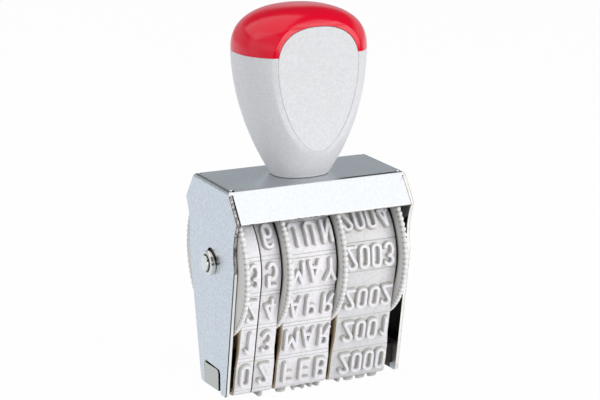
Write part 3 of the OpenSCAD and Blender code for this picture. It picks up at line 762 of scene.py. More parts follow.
def character_strokes():
    """Centre lines of the characters, in millimetres round the middle of each."""
    top, low, r, c = 2.75, -2.75, 1.0, 1.75
    ring = bow(0, c, r, r, 180, 0) + bow(0, -c, r, r, 0, -180) + [(-r, c)]
    stem = [(-r, low), (-r, top)]
    loop = [(-r, top)] + bow(0.1, 1.35, 0.9, 1.4, 90, -90) + [(-r, -0.05)]
    six = [bow(0, -1.2, r, 1.55, 180, -180), [(-r, -1.2)] + bow(0, c, r, r, 180, 30)]
    bowl = bow(0, c, r, r, 25, 180) + bow(0, -c, r, r, 180, 335)
    round_side = bow(-0.2, 1.55, 1.2, 1.2, 90, 0) + bow(-0.2, -1.55, 1.2, 1.2, 0, -90)
    return {
        "0": [ring],
        "1": [[(0.3, low), (0.3, top), (-0.6, 1.75)]],
        "2": [bow(0, c, r, r, 175, -22) + [(-r, -2.45), (-r, low), (r, low)]],
        "3": [bow(0, 1.6, r, 1.15, 155, -90), bow(0, -1.15, r, 1.6, 90, -155)],
        "4": [[(0.45, low), (0.45, top), (-1.05, -1.2), (1.1, -1.2)]],
        "5": [[(0.9, top), (-0.85, top), (-0.95, 0.35)] + bow(0, -0.95, r, 1.8, 130, -150)],
        "6": six,
        "7": [[(-r, top), (r, top), (-0.3, low)]],
        "8": [bow(0, 1.45, 0.9, 1.3, -90, 270), bow(0, -1.3, r, 1.45, 90, 450)],
        "9": [[(-x, -y) for x, y in line] for line in six],
        "A": [[(-1.25, low), (0, top), (1.25, low)], [(-0.9, -1.2), (0.9, -1.2)]],
        "B": [
            stem,
            [(-r, top)] + bow(0.1, 1.45, 0.85, 1.3, 90, -90) + [(-r, 0.15)],
            [(-r, 0.15)] + bow(0.1, -1.3, 0.95, 1.45, 90, -90) + [(-r, low)],
        ],
        "C": [bowl],
        "D": [stem, [(-r, top)] + round_side + [(-r, low)]],
        "E": [[(r, top), (-r, top), (-r, low), (r, low)], [(-r, 0.1), (0.75, 0.1)]],
        "F": [[(r, top), (-r, top), (-r, low)], [(-r, 0.1), (0.75, 0.1)]],
        "G": [bowl + [(r, -0.3), (0.1, -0.3)]],
        "J": [[(0.8, top)] + bow(-0.1, -c, 0.9, r, 0, -165)],
        "L": [[(-r, top), (-r, low), (r, low)]],
        "M": [[(-1.4, low), (-1.4, top), (0, -0.7), (1.4, top), (1.4, low)]],
        "N": [[(-r, low), (-r, top), (r, low), (r, top)]],
        "O": [ring],
        "P": [stem, loop],
        "R": [stem, loop, [(-0.1, -0.05), (1.1, low)]],
        "S": [bow(0, 1.45, r, 1.3, 25, 270) + bow(0, -1.3, r, 1.45, 90, -155)],
        "T": [[(-1.1, top), (1.1, top)], [(0, top), (0, low)]],
        "U": [[(-r, top)] + bow(0, -c, r, r, 180, 360) + [(r, top)]],
        "V": [[(-1.2, top), (0, low), (1.2, top)]],
        "Y": [[(-1.2, top), (0, 0.0), (1.2, top)], [(0, 0.0), (0, low)]],
    }


def nearest(points, lines):
    """Distance of each point to the centre lines, and the direction away from them."""
    best = np.full(len(points), 1e9)
    away = np.zeros_like(points)
    for line in lines:
        for a, b in zip(np.array(line[:-1]), np.array(line[1:])):
            run = b - a
            share = np.clip(((points - a) @ run) / max(run @ run, 1e-12), 0.0, 1.0)
            off = points - (a + share[:, None] * run)
            far = np.hypot(off[:, 0], off[:, 1])
            closer = far < best
            best[closer] = far[closer]
            away[closer] = off[closer] / np.maximum(far[closer], 1e-9)[:, None]
    return best, away


def contours(lines, level, cell):
    """Closed outlines, as lists of points, at a distance of level from the centre lines."""
    every = np.concatenate([np.array(line) for line in lines])
    margin = level + 2.37 * cell
    low = every.min(axis=0) - margin
    size = np.ceil((every.max(axis=0) + margin - low) / cell).astype(int) + 1
    xs, ys = low[0] + cell * np.arange(size[0]), low[1] + cell * np.arange(size[1])
    grid = np.stack(np.meshgrid(xs, ys, indexing="ij"), axis=-1).reshape(-1, 2)
    field = (nearest(grid, lines)[0] - level).reshape(size)
    follow = {}
    for i in range(size[0] - 1):
        for j in range(size[1] - 1):
            square = [(i, j), (i + 1, j), (i + 1, j + 1), (i, j + 1)]
            starts, ends = [], []
            for k in range(4):
                edge = square[k], square[(k + 1) % 4]
                inside, after = (field[p] < 0.0 for p in edge)
                if inside != after:
                    (starts if inside else ends).append((k, tuple(sorted(edge))))
            for k, edge in starts:
                follow[edge] = min(ends, key=lambda end: (end[0] - k) % 4)[1]
    loops = []
    while follow:
        first = edge = next(iter(follow))
        loop = []
        while edge in follow:
            p, q = edge
            share = field[p] / (field[p] - field[q])
            loop.append((xs[p[0]] + share * (xs[q[0]] - xs[p[0]]), ys[p[1]] + share * (ys[q[1]] - ys[p[1]])))
            edge = follow.pop(edge)
        if edge == first and len(loop) > 3:
            loops.append(loop)
    return loops


def thinned(loop, tolerance, longest):
    """A loop without the points that lie on a straight run, at most longest apart."""
    kept, start = [loop[0]], 0
    for k in range(2, len(loop) + 1):
        a, b = np.array(loop[start]), np.array(loop[k % len(loop)])
        run = b - a
        span = math.hypot(*run)
        between = np.array(loop[start + 1:k])
        off = np.abs((between[:, 0] - a[0]) * run[1] - (between[:, 1] - a[1]) * run[0]) / max(span, 1e-9)
        if off.max() > tolerance or span > longest:
            start = k - 1
            kept.append(loop[start])
    return kept


class BandPath:
    """Course of a band round its wheel and the sole."""

    def __init__(self, size):
        self.relief, self.sole_half, self.axle = size.relief, size.sole_half, size.axle_height
        self.sole_turn, self.wheel_turn = size.sole_turn, size.wheel_turn
        rise = self.axle - self.relief - self.sole_turn
        span = math.hypot(self.sole_half, rise)
        step = self.wheel_turn - self.sole_turn
        self.lean = math.asin(step / span) - math.atan2(self.sole_half, rise)
        self.turn_end = self.sole_half + self.sole_turn * (QUARTER - self.lean)
        self.run_end = self.turn_end + math.sqrt(span * span - step * step)
        self.half = self.run_end + self.wheel_turn * (QUARTER + self.lean)

    def wrapped(self, s):
        """A distance along the band brought to within half a turn of the middle of the sole."""
        return (s + self.half) % (2.0 * self.half) - self.half

    def point(self, s, o):
        """(y, z) at distance s from the middle of the sole, up the front, o above the rubber's face."""
        s = self.wrapped(s)
        y, z = self.front(abs(s), o)
        return (y, z) if s > 0.0 else (-y, z)

    def front(self, s, o):
        """The same on the front half of the band."""
        turn_z, r = self.relief + self.sole_turn, self.sole_turn + o
        if s <= self.sole_half:
            return -s, self.relief - o
        if s <= self.turn_end:
            a = -QUARTER - (s - self.sole_half) / self.sole_turn
            return -self.sole_half + r * math.cos(a), turn_z + r * math.sin(a)
        if s <= self.run_end:
            t, sine, cosine = s - self.turn_end, math.sin(self.lean), math.cos(self.lean)
            return -self.sole_half - r * cosine - t * sine, turn_z - r * sine + t * cosine
        a, r = math.pi + self.lean - (s - self.run_end) / self.wheel_turn, self.wheel_turn + o
        return r * math.cos(a), self.axle + r * math.sin(a)


# across: middle of the type along X; first: distance of the first row from the middle of the sole;
# pitch and letter: from row to row and from letter to letter; strip: extra rubber between the fourth and
# fifth rows; lines: place from a row's limit and share of the depth of its grooves; flat: lift of the
# plain rubber, which sets how far it goes towards the painted shade colour; tall: height of the letters
# against their drawing; spread: sides beside a wheel's rim, which spread towards the sole, while the others
# get black painted shade; words: one for each row; lengths are in millimetres
Band = namedtuple("Band", "across first pitch letter strip lines flat tall spread words")
DAY_LINES = ((-0.92, 1.0), (0.05, 0.5))
BLANK = "-"
BANDS = {
    "tens": Band(
        -18.75, 4.2, 8.75, 0.0, 0.0, DAY_LINES, 0.95, 0.95, (1, 0), "- 0 1 2 3 - - - 0 1 2 3 - -"
    ),
    "units": Band(
        -14.15, 4.2, 8.75, 0.0, 0.0, DAY_LINES, 0.95, 0.93, (0, 1), "1 2 3 4 5 6 7 8 9 - - - - 0"
    ),
    "month": Band(
        -3.4, 3.4, 8.8, 4.25, 0.0, ((-0.92, 0.9), (0.0, 0.8)), 0.9, 0.88, (1, 1),
        "JAN FEB MAR APR MAY JUN - - JUL AUG SEP OCT NOV DEC",
    ),
    "year": Band(
        12.15, 3.1, 8.9, 3.25, 1.7, ((-0.92, 1.0),), 0.62, 0.88, (1, 1),
        "1999 2000 2001 2002 2003 2004 2005 2006 2007 2008 2009 2010 - 1998",
    ),
}


class STAMP_OT_bands(bpy.types.Operator):
    """Moulds the four rubber bands with their raised type"""

    bl_idname = "stamp.bands"
    bl_label = "Date Bands"

    # rows of type, those of them behind the sole and the last one before the extra strip
    ROWS, LAST_ROWS, STRIP_AFTER = 14, 2, 3
    # how far the rows of the year band sit off its middle, in millimetres
    YEAR_DRIFT = (0.0, 0.0, 0.0, -0.55, -0.78, -0.8, -0.8, -0.8, -0.8, -0.8, -0.5, -0.3, 0.0, 0.0)
    STATIONS = 220
    # clear way round a groove in half widths; share of the rounding cut; share of the height that spreads
    CLEAR, ROUNDING, SPREAD_RUN = 1.2, 0.3, 0.4
    # lifts of the band's rounded edges and grooves, painted partway into shade, of stained sides, and of
    # sides beside a neighbouring band, painted black as shade
    EDGE_LIFT, GROOVE_LIFT, SOILED_SIDE, BLACK_SIDE = 0.5, 0.1, -0.4, -1.0
    # grid, tolerance and longest edge of the type's outlines and depth of its feet, in millimetres
    CELL, STRAIGHT, LONGEST, SUNK = 0.13, 0.006, 0.7, -0.05
    # rounding of the shoulder sideways; share of the flank, of the height and lift at the knee under it; the
    # lifts grade the painted shade down the flanks
    SOFT, KNEE, KNEE_HIGH, KNEE_LIFT, SHOULDER_LIFT = 0.6, 0.45, 0.42, 0.15, 0.7

    def execute(self, context):
        size = context.scene.stamp_bands
        finish = rubber_finish()
        path = BandPath(size)
        glyphs = {}
        strokes = character_strokes()
        for name, band in BANDS.items():
            vertices, faces, lift = self.belt(size, path, name, band)
            for row, (word, middle) in enumerate(zip(band.words.split(), self.rows(band))):
                drift = self.YEAR_DRIFT[row] if name == "year" else 0.0
                for k, letter in enumerate(word):
                    if letter == BLANK:
                        continue
                    if letter not in glyphs:
                        glyphs[letter] = self.glyph(size, strokes[letter])
                    across = band.across + (k - (len(word) - 1) / 2.0) * band.letter
                    place = ((across + drift) * MM, middle, band.tall)
                    self.stamp_on(path, glyphs[letter], place, vertices, faces, lift)
            piece(
                name + "_type_band", vertices, faces, lift, finish, [name + "_band"],
                sharp=38.0,
            )
        return {"FINISHED"}

    def rows(self, band):
        """Middles of the type rows along the band, in metres; the last ones lie behind the sole."""
        places = []
        for k in range(self.ROWS):
            behind = k >= self.ROWS - self.LAST_ROWS
            strip = band.strip if k > self.STRIP_AFTER and not behind else 0.0
            places.append((band.first + (k - self.ROWS if behind else k) * band.pitch + strip) * MM)
        return places

    def belt(self, size, path, name, band):
        """The plain band with a groove at each line between rows."""
        low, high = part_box(name + "_band")
        cuts = {}
        for row, middle in enumerate(self.rows(band)):
            for offset, strength in band.lines:
                raised = band.strip if row == self.STRIP_AFTER + 1 else 0.0
                at = middle - (band.pitch / 2.0 - offset - raised) * MM
                for side in (-1.0, 0.0, 1.0):
                    depth = 0.0 if side else -size.groove_depth * strength
                    cuts[path.wrapped(at + side * size.groove)] = depth
        plain = [-path.half + 2.0 * path.half * k / self.STATIONS for k in range(self.STATIONS)]
        for s in (path.sole_half, path.turn_end, path.run_end):
            plain += [s, -s]
        stations = {s: 0.0 for s in plain if min(abs(s - cut) for cut in cuts) > self.CLEAR * size.groove}
        stations.update(cuts)
        left, right = band.spread
        walls = [self.SOILED_SIDE if spread else self.BLACK_SIDE for spread in band.spread]
        ease, cut = size.ease, self.ROUNDING * size.ease
        vertices, lift = [], []
        for s in sorted(stations):
            depth = stations[s]
            flat = band.flat if depth == 0.0 else self.GROOVE_LIFT
            fallen = (size.spread_from - path.point(s, 0.0)[1]) / (self.SPREAD_RUN * size.spread_from)
            fallen = min(1.0, max(0.0, fallen))
            wide = size.spread * fallen * fallen * (3.0 - 2.0 * fallen)
            a, b = low[0] - left * wide, high[0] + right * wide
            ring = [
                (a + ease, depth, flat), (a + cut, depth - cut, self.EDGE_LIFT),
                (a, depth - ease, walls[0]), (a, -size.rubber, walls[0]),
                (b, -size.rubber, walls[1]), (b, depth - ease, walls[1]),
                (b - cut, depth - cut, self.EDGE_LIFT), (b - ease, depth, flat),
            ]
            vertices += [(x, *path.point(s, o)) for x, o, _ in ring]
            lift += [raised for _, _, raised in ring]
        return vertices, quads(len(stations), len(ring)), lift

    def glyph(self, size, lines):
        """Flat vertices (u, v, o) in millimetres, faces and lift of one raised character."""
        flank, shoulder, high = size.flank / MM, size.shoulder / MM, size.relief / MM
        b = bmesh.new()
        edges, loops = [], []
        for loop in contours(lines, size.stroke / MM / 2.0, self.CELL):
            ring = [b.verts.new((u, v, 0.0)) for u, v in thinned(loop, self.STRAIGHT, self.LONGEST)]
            edges += [b.edges.new((ring[k - 1], ring[k])) for k in (*range(1, len(ring)), 0)]
            loops.append(ring)
        bmesh.ops.triangle_fill(b, edges=edges, use_beauty=True, normal=(0.0, 0.0, 1.0))
        b.verts.index_update()
        flat = np.array([v.co[:2] for v in b.verts])
        tops = []
        for face in b.faces:
            corners = tuple(v.index for v in face.verts)
            tops.append(corners if face.normal.z > 0.0 else corners[::-1])
        loops = [[v.index for v in ring] for ring in loops]
        b.free()
        away, count = nearest(flat, lines)[1], len(flat)
        soft = shoulder * self.SOFT
        knee = soft + (flank - soft) * self.KNEE
        layers = [
            (flat, high, 1.0),
            (flat + away * soft, high - shoulder, self.SHOULDER_LIFT),
            (flat + away * knee, high * self.KNEE_HIGH, self.KNEE_LIFT),
            (flat + away * flank, self.SUNK, 0.0),
        ]
        vertices = [(u, v, o) for points, o, _ in layers for u, v in points]
        lift = [raised for _, _, raised in layers for _ in range(count)]
        foot = (len(layers) - 1) * count
        faces = list(tops)
        for loop in loops:
            for p, q in zip(loop, loop[1:] + loop[:1]):
                for up in range(0, foot, count):
                    down = up + count
                    faces.append((p + up, p + down, q + down, q + up))
        faces += [tuple(i + foot for i in reversed(f)) for f in tops]
        return vertices, faces, lift

    def stamp_on(self, path, glyph, place, vertices, faces, lift):
        """Sets a character on a band; its head points down the front."""
        start = len(vertices)
        across, middle, tall = place
        for u, v, o in glyph[0]:
            vertices.append((across + u * MM, *path.point(middle - v * tall * MM, o * MM)))
        faces.extend(tuple(i + start for i in reversed(f)) for f in glyph[1])
        lift.extend(glyph[2])


class STAMP_OT_inner_parts(bpy.types.Operator):
    """Finishes the woven backings, bridge, spacer and the fixing of the handle"""

    bl_idname = "stamp.inner_parts"
    bl_label = "Inner Parts"

    def execute(self, context):
        ply, steel = ply_finish(), plain_steel_finish()
        for name in BANDS:
            dress(name + "_backing", ply)
        for name in ("axle_spacer", "handle_stud", "handle_washer", "handle_nut"):
            dress(name, steel)
        dress("bridge", black_steel_finish())
        return {"FINISHED"}


def eased(steps, first=0):
    """Numbers from 0 to 1 that lie closer together towards 1."""
    return [math.sin(QUARTER * i / steps) for i in range(first, steps + 1)]


class HandleForm:
    """Form of the palm handle: a round body cut by two egg-shaped flat faces, and the cavity of its cap."""

    # exponents of the oval section, of the side's flare and dome, of the depth and of the flat faces
    SECTION, FLARE, DOME = 2.3, 1.87, 2.35
    BULGE_LOW, BULGE_HIGH = 2.9, 2.8
    FACE_LOW, FACE_HIGH = 1.8, 2.4
    STEPS, CAVITY_STEPS, HALVINGS = 20, 16, 24
    ARC_END = math.radians(89.8)
    TIP = 0.03 * MM
    # narrowest bevel in tips; eased edge against its place; sag of that edge; drop outside the fine line
    NARROW, EASE_SHARE, SAG, LINE_DROP = 5.0, 0.3, 0.12, 0.3

    def __init__(self, size):
        self.__dict__.update({name: getattr(size, name) for name in size.__annotations__})
        self.face_y = self.face_depth / 2.0
        self.skirt = self.face_low - self.bevel
        self.crown = self.face_top + self.bevel

    def face_half(self, h, grow):
        """Half width of a flat face, grown outwards, at height h."""
        high = h > self.face_mid
        power = self.FACE_HIGH if high else self.FACE_LOW
        end = self.face_top + grow if high else self.face_low - grow
        t = (h - self.face_mid) / (end - self.face_mid)
        return 0.0 if t >= 1.0 else (self.face_width / 2.0 + grow) * (1.0 - t ** power) ** (1.0 / power)

    def swell(self, h, base, most, place, low, high):
        """Half size of the body that grows from base to most at height place, then closes in a dome."""
        if h > place:
            t = (h - place) / (self.height - place)
            return most / 2.0 * (1.0 - t ** high) ** (1.0 / high)
        return base / 2.0 + (most - base) / 2.0 * (1.0 - (1.0 - h / place) ** low)

    def side_half(self, h):
        """Half width of the body."""
        return self.swell(h, self.base_width, self.width, self.widest, self.FLARE, self.DOME)

    def bulge(self, h):
        """Half depth of the body without its flat faces."""
        return self.swell(
            h, self.base_depth, self.bulge_depth, self.deepest, self.BULGE_LOW, self.BULGE_HIGH
        )

    def swelling(self, x, h):
        """Extra depth beside the bevel at (x, h), from the distance to its outer edge."""
        low, high = 0.0, self.width
        for _ in range(self.HALVINGS):
            grow = (low + high) / 2.0
            low, high = (grow, high) if self.face_half(h, self.bevel + grow) < x + self.TIP else (low, grow)
        return self.lip * math.exp(-((low / self.lip_reach) ** 2))

    def front_half(self, h, line):
        """Half depth on the middle plane; line adds the fine groove round the flat face."""
        if h <= self.skirt or h >= self.crown:
            return self.bulge(h) + self.swelling(0.0, h)
        edge = self.bulge(self.skirt) + self.lip
        stops = [(self.skirt, edge), (self.face_low, self.face_y)]
        if line:
            slope = (self.face_y - edge) / self.bevel
            stops[1:] = [
                (self.face_low - self.groove, self.face_y - slope * self.groove),
                (self.face_low, self.face_y - self.groove_depth),
                (self.face_low + self.groove, self.face_y),
            ]
        stops += [(self.face_top, self.face_y), (self.crown, self.bulge(self.crown) + self.lip)]
        return float(np.interp(h, *zip(*stops)))

    def oval(self, a, b, x):
        """Height y of the section's oval at x."""
        return b * (1.0 - (x / a) ** self.SECTION) ** (1.0 / self.SECTION)

    def arc(self, a, b, end):
        """Points of the section's oval from its side to angle end."""
        power = 2.0 / self.SECTION
        turns = [end * i / self.STEPS for i in range(self.STEPS + 1)]
        return [(a * math.cos(t) ** power, b * math.sin(t) ** power) for t in turns]

    def quarter(self, h, line):
        """Section points from the side to the middle of the front: oval, eased edge, bevel, flat face."""
        a, b, centre = self.side_half(h), self.bulge(h), self.front_half(h, line)
        rim = self.face_half(h, self.bevel)
        w = max(rim, self.face_half(h, self.groove) + self.NARROW * self.TIP)
        ease = min(self.ease, self.EASE_SHARE * w)
        points = self.arc(a, b, math.acos(((w + ease) / a) ** (self.SECTION / 2.0)))
        points = [(x, y + self.swelling(x, h)) for x, y in points]
        columns = [(0.0, self.face_y)]
        if line:
            rest, floor = self.face_y - self.LINE_DROP * self.groove, self.face_y - self.groove_depth
            columns = [(self.groove, rest), (0.0, floor), (-self.groove, self.face_y)]
        middle = []
        for k, (grow, depth) in enumerate(columns):
            half, edge = self.face_half(h, grow), (len(columns) - k) * self.TIP
            middle.append((half, depth) if half > edge else (edge, centre))
        y = self.oval(a, b, w) + self.swelling(w, h)
        near = middle[0]
        share = min(0.5, ease / max(w - near[0], ease))
        dip = self.SAG * ease if rim > 0.0 else 0.0
        return points + [(w, y - dip), (w + share * (near[0] - w), y + share * (near[1] - y)), *middle]

    def ring(self, quarter, h):
        """Four quarters joined to one loop at height h."""
        z = self.foot + h
        loop = [(x, y, z) for x, y in quarter] + [(-x, y, z) for x, y in reversed(quarter)]
        return loop + [(x, -y, z) for x, y, _ in reversed(loop[1:-1])]

    def cavity_rings(self, gap, below):
        """Rings of the cap's cavity, at a gap inside it and drawn out below the cap's edge."""
        heights = [self.cap_low + (self.cavity - self.cap_low) * t for t in eased(self.CAVITY_STEPS)]
        rings = []
        for h, drop in ((heights[0], below), *((h, gap) for h in heights)):
            width = self.side_half(h) - self.cap_wall - gap
            depth = self.front_half(h, False) - self.lip - self.cap_wall - gap
            rings.append(self.ring(self.arc(width, depth, self.ARC_END), h - drop))
        return rings


def solid(name, vertices, faces):
    """A loose mesh object, used as a tool or as the blank of a piece; its faces are turned outwards."""
    mesh = bpy.data.meshes.new(name)
    b = bmesh.new()
    made = [b.verts.new(v) for v in vertices]
    for face in faces:
        b.faces.new([made[i] for i in face])
    bmesh.ops.recalc_face_normals(b, faces=b.faces)
    b.to_mesh(mesh)
    b.free()
    return shown(name, mesh)


def loft(name, rings):
    """A closed solid through rings of equal size."""
    n = len(rings[0])
    faces = quads(len(rings), n)[:-n]
    faces += [tuple(reversed(range(n))), tuple((len(rings) - 1) * n + j for j in range(n))]
    return solid(name, [p for ring in rings for p in ring], faces)


def prism(name, outline, near, far, upright=True):
    """A closed solid of an outline (u, v) drawn out from near to far, upwards or else towards the back."""
    return loft(name, [[(u, v, d) if upright else (u, d, v) for u, v in outline] for d in (near, far)])


def combine(blank, tools):
    """Applies a list of (operation, tool object) to blank and deletes the tools."""
    for operation, tool in tools:
        step = blank.modifiers.new(tool.name, "BOOLEAN")
        step.operation = operation
        step.solver = "EXACT"
        step.object = tool
    bpy.context.view_layer.update()
    shaped = bpy.data.meshes.new_from_object(blank.evaluated_get(bpy.context.evaluated_depsgraph_get()))
    if not shaped.polygons:
        raise RuntimeError(f"{blank.name} came out empty")
    blank.modifiers.clear()
    old, blank.data = blank.data, shaped
    bpy.data.meshes.remove(old)
    for _, tool in tools:
        mesh = tool.data
        bpy.data.objects.remove(tool)
        bpy.data.meshes.remove(mesh)


class STAMP_OT_handle(bpy.types.Operator):
    """Moulds the handle body and its cap"""

    bl_idname = "stamp.handle"
    bl_label = "Palm Handle"

    PEG, PEG_X, PEG_END = 0.9 * MM, 5.2 * MM, 0.8 * MM
    CORE_X, CORE_HALF, CORE_DEPTH = 3.75 * MM, 2.75 * MM, 4.6 * MM
    TONGUE_GAP, TONGUE_SINK = 0.05 * MM, 0.02 * MM
    EDGE_SHARE, EDGE_RISE, DOME_SHARE = 0.994, 0.1 * MM, 0.9995
    BORE_LOW = -2.0 * MM
    FOOT_STEPS, NECK_STEPS, FACE_STEPS, RIM_STEPS = 4, 12, 64, 6
    CAP_STEPS, CAP_FIRST, DOME_STEPS, TONGUE_STEPS, ROUND_STEPS = 44, 8, 18, 48, 64
    # heights of sections round the lower tip of the line, in half widths of the line
    TIP_STEPS = (-1.0, -0.5, 0.0, 0.25, 0.5, 1.0, 1.5, 2.0)

    def execute(self, context):
        form = HandleForm(context.scene.stamp_handle)
        self.body(form)
        self.cap(form)
        return {"FINISHED"}

    def column(self, form, name, radius, low, high, x=0.0):
        """A cylinder up the handle, as a tool."""
        turns = [2.0 * math.pi * k / self.ROUND_STEPS for k in range(self.ROUND_STEPS)]
        outline = [(x + radius * math.cos(t), radius * math.sin(t)) for t in turns]
        return prism(name, outline, form.foot + low, form.foot + high)

    def tongue(self, form, name, grow, low, reach, side):
        """Prism of a flat face's upper part, on the front (side -1) or back (side 1)."""
        heights = [low + (form.face_top + grow - low) * t for t in eased(self.TONGUE_STEPS)]
        half = [(max(form.face_half(h, grow), form.TIP), form.foot + h) for h in heights]
        outline = half + [(-x, z) for x, z in reversed(half)]
        inner = form.face_y - 2.0 * form.cap_wall
        return prism(name, outline, side * inner, side * reach, upright=False)

    def body(self, form):
        """The pale body with its plug, tongues and pegs, bored and hollowed."""
        low, skirt, mid = form.base_chamfer, form.skirt, form.face_mid
        neck, face, rim = self.NECK_STEPS, self.FACE_STEPS, self.RIM_STEPS
        heights = {low + (skirt - low) * i / neck for i in range(neck)}
        heights |= {mid - (mid - skirt) * math.cos(QUARTER * i / face) for i in range(face + 1)}
        heights |= {form.face_low + form.groove * k for k in self.TIP_STEPS}
        heights |= {mid + (form.cap_low - mid) * i / rim for i in range(1, rim + 1)}
        rings = []
        for k in range(self.FOOT_STEPS):
            turn = QUARTER * k / self.FOOT_STEPS
            inset = 1.0 - low * (1.0 - math.sin(turn)) / (form.base_depth / 2.0)
            foot = [(x * inset, y * inset) for x, y in form.quarter(low, True)]
            rings.append(form.ring(foot, low * (1.0 - math.cos(turn))))
        rings += [form.ring(form.quarter(h, True), h) for h in sorted(heights)]
        blank = loft("handle_grip", rings)
        tools = [("UNION", loft("plug", form.cavity_rings(form.cap_gap, form.cap_wall)))]
        seat = form.cap_low - self.TONGUE_SINK
        for side in (-1, 1):
            tongue = self.tongue(form, f"tongue{side}", -self.TONGUE_GAP, seat, form.face_y, side)
            peg = self.column(form, f"peg{side}", self.PEG, -self.PEG_END, self.PEG_END, side * self.PEG_X)
            tools += [("UNION", tongue), ("UNION", peg)]
        bore = self.column(form, "bore", form.bore / 2.0, self.BORE_LOW, form.height)
        pocket = self.column(form, "pocket", form.pocket / 2.0, form.pocket_low, form.height)
        tools += [("DIFFERENCE", bore), ("DIFFERENCE", pocket)]
        for side in (-1, 1):
            x = side * (form.pocket / 2.0 + self.CORE_X)
            square = ((-1, -1), (1, -1), (1, 1), (-1, 1))
            outline = [(x + u * self.CORE_HALF, v * self.CORE_DEPTH) for u, v in square]
            core = prism(f"core{side}", outline, form.foot + form.core_low, form.foot + form.height)
            tools.append(("DIFFERENCE", core))
        combine(blank, tools)
        crisp(settle(blank, body_finish(), ["handle_body"], sharp=24.0))

    def cap(self, form):
        """The red cap, hollow and open over the upper parts of the flat faces."""
        low, mid, crown, dome = form.cap_low, form.face_mid, form.crown, form.height - form.crown
        heights = {mid + (crown - mid) * t for t in eased(self.CAP_STEPS, self.CAP_FIRST)}
        heights |= {crown + dome * t for t in eased(self.DOME_STEPS)[:-1]}
        heights = [low + self.EDGE_RISE, *(h for h in sorted(heights) if h > low + 2.0 * self.EDGE_RISE)]
        heights.append(crown + dome * self.DOME_SHARE)
        edge = [(x * self.EDGE_SHARE, y * self.EDGE_SHARE) for x, y in form.quarter(low, False)]
        rings = [form.ring(edge, low)] + [form.ring(form.quarter(h, False), h) for h in heights]
        blank = loft("handle_top", rings)
        tools = [("DIFFERENCE", loft("cavity", form.cavity_rings(0.0, MM)))]
        for side in (-1, 1):
            arch = self.tongue(
                form, f"arch{side}", form.cap_gap, low - form.cap_wall, form.face_y + MM, side
            )
            tools.append(("DIFFERENCE", arch))
        combine(blank, tools)
        crisp(settle(blank, cap_finish(), ["handle_cap"], sharp=24.0))


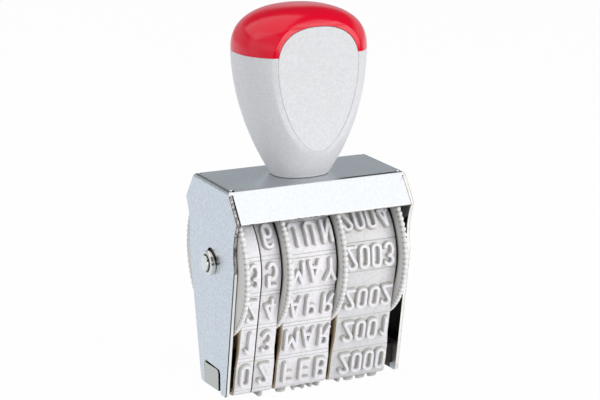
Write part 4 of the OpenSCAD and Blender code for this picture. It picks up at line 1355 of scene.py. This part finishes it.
class STAMP_OT_stage(bpy.types.Operator):
    """Sets up the floor, the soft lamps and the camera"""

    bl_idname = "stamp.stage"
    bl_label = "Stage"

    FLOOR_REACH, FLOOR_FRONT = 3.0, -0.125
    FLOOR_GLOW, FLOOR_SHEEN = 0.97, (0.87, 0.935, 1.0)
    WHITE, BLACK, BRIM = (1.0,) * 3, (0.02,) * 3, (0.5,) * 3
    # tones of the world by height, for what mirrors it and for the light that it gives
    CEILING = ((0.30, (0.53, 0.57, 0.60)), (0.42, (0.06,) * 3), (1.0, (0.05,) * 3))
    REAR = ((0.0, (0.50, 0.54, 0.57)), *CEILING)
    FRONT = ((0.0, BLACK), (0.07, BLACK), (0.10, BRIM), *CEILING)
    # place and size of the soft lamps, which all point at the middle of the stamp
    LAMPS = {
        "key": ((0.42, -0.86, 0.20), 0.8),
        "panel": ((0.34, -0.42, 0.80), 0.75),
        "rear": ((-0.40, 0.30, 0.95), 1.3),
        "fill": ((-0.95, -0.25, 0.35), 1.5),
    }
    MIDDLE = Vector((0.0, 0.0, 0.045))
    TURN_OVER = 0.3
    SENSOR, NEAREST = 36.0, 0.01

    def execute(self, context):
        stage = context.scene.stamp_stage
        self.floor()
        self.world(context.scene)
        for name, (place, size) in self.LAMPS.items():
            light = bpy.data.lights.new(name, "AREA")
            light.energy = getattr(stage, name)
            light.size = size
            made = shown(name, light)
            made.location = place
            made.rotation_euler = (self.MIDDLE - Vector(place)).to_track_quat("-Z", "Y").to_euler()
        self.camera(context.scene, stage)
        context.scene.view_settings.view_transform = "Standard"
        return {"FINISHED"}

    def floor(self):
        """A white table that ends a hand's breadth in front of the stamp."""
        reach, front = self.FLOOR_REACH, self.FLOOR_FRONT
        mesh = bpy.data.meshes.new("floor")
        corners = [(-reach, front, 0.0), (reach, front, 0.0), (reach, reach, 0.0), (-reach, reach, 0.0)]
        mesh.from_pydata(corners, [], [(0, 1, 2, 3)])
        made = shown("floor", mesh)
        f = Finish("floor_paper")
        paper = f.node("ShaderNodeBsdfDiffuse", {"Color": opaque(f.tint("floor"))})
        camera = f.ray("Is Camera Ray")
        mirrored = f.ray("Is Glossy Ray") + f.ray("Is Transmission Ray")
        seen = f.node("ShaderNodeMath", {0: camera, 1: mirrored}, operation="MAXIMUM")
        sheen = f.blend(camera, self.FLOOR_SHEEN, self.WHITE)
        glow = f.node("ShaderNodeEmission", {"Color": sheen, "Strength": 1.0})
        f.close(f.node("ShaderNodeMixShader", {0: seen * self.FLOOR_GLOW, 1: paper, 2: glow}))
        mesh.materials.append(f.material)

    def world(self, scene):
        """White to the camera; otherwise a grey backdrop, a dark front and a dark ceiling."""
        scene.world = bpy.data.worlds.new("studio")
        f = Finish("studio", scene.world)
        where = f.node("ShaderNodeTexCoord", output="Generated")
        depth, height = f.axis("Y", where), f.axis("Z", where)
        rear, front = (
            f.node("ShaderNodeValToRGB", {0: height}, stops=stops) for stops in (self.REAR, self.FRONT)
        )
        bounce = f.blend(f.fade(depth, -self.TURN_OVER, self.TURN_OVER), front, rear)
        tone = f.blend(f.ray("Is Camera Ray"), bounce, self.WHITE)
        f.close(f.node("ShaderNodeBackground", {"Color": tone, "Strength": 1.0}))

    def camera(self, scene, stage):
        """The view of the photograph."""
        a, e, r = stage.azimuth, stage.elevation, stage.roll
        back = Vector((math.sin(a) * math.cos(e), -math.cos(a) * math.cos(e), math.sin(e)))
        right = Vector((math.cos(a), math.sin(a), 0.0))
        up = back.cross(right)
        tilted = right * math.cos(r) + up * math.sin(r)
        upright = up * math.cos(r) - right * math.sin(r)
        data = bpy.data.cameras.new("view")
        data.sensor_width = self.SENSOR
        data.lens = stage.lens
        data.clip_start = self.NEAREST
        made = shown("view", data)
        turn = Matrix((tilted, upright, back)).transposed()
        made.matrix_world = Matrix.Translation(Vector(stage.camera_place)) @ turn.to_4x4()
        scene.camera = made


class STAMP_PT_sidebar(bpy.types.Panel):
    """Lists the pieces of the stamp"""

    bl_idname = "STAMP_PT_sidebar"
    bl_label = "Date Stamp"
    bl_space_type = "VIEW_3D"
    bl_region_type = "UI"
    bl_category = "Date Stamp"

    def draw(self, context):
        for step in STEPS:
            self.layout.operator(step.bl_idname)


SETTINGS = {
    "stamp_bands": StampBandSettings,
    "stamp_wheels": StampWheelSettings,
    "stamp_handle": StampHandleSettings,
    "stamp_finish": StampFinishSettings,
    "stamp_stage": StampStageSettings,
}
STEPS = (
    STAMP_OT_frame, STAMP_OT_axle, STAMP_OT_wheels, STAMP_OT_bands, STAMP_OT_inner_parts,
    STAMP_OT_handle, STAMP_OT_stage,
)


def register():
    for group in (*SETTINGS.values(), *STEPS, STAMP_PT_sidebar):
        bpy.utils.register_class(group)
    for name, group in SETTINGS.items():
        setattr(bpy.types.Scene, name, PointerProperty(type=group))


def unregister():
    for name in SETTINGS:
        delattr(bpy.types.Scene, name)
    for group in (STAMP_PT_sidebar, *reversed(STEPS), *reversed(SETTINGS.values())):
        bpy.utils.unregister_class(group)


def main():
    register()
    bpy.ops.stamp.frame()
    bpy.ops.stamp.axle()
    bpy.ops.stamp.wheels()
    bpy.ops.stamp.bands()
    bpy.ops.stamp.inner_parts()
    bpy.ops.stamp.handle()
    bpy.ops.stamp.stage()


if __name__ == "__main__":
    main()
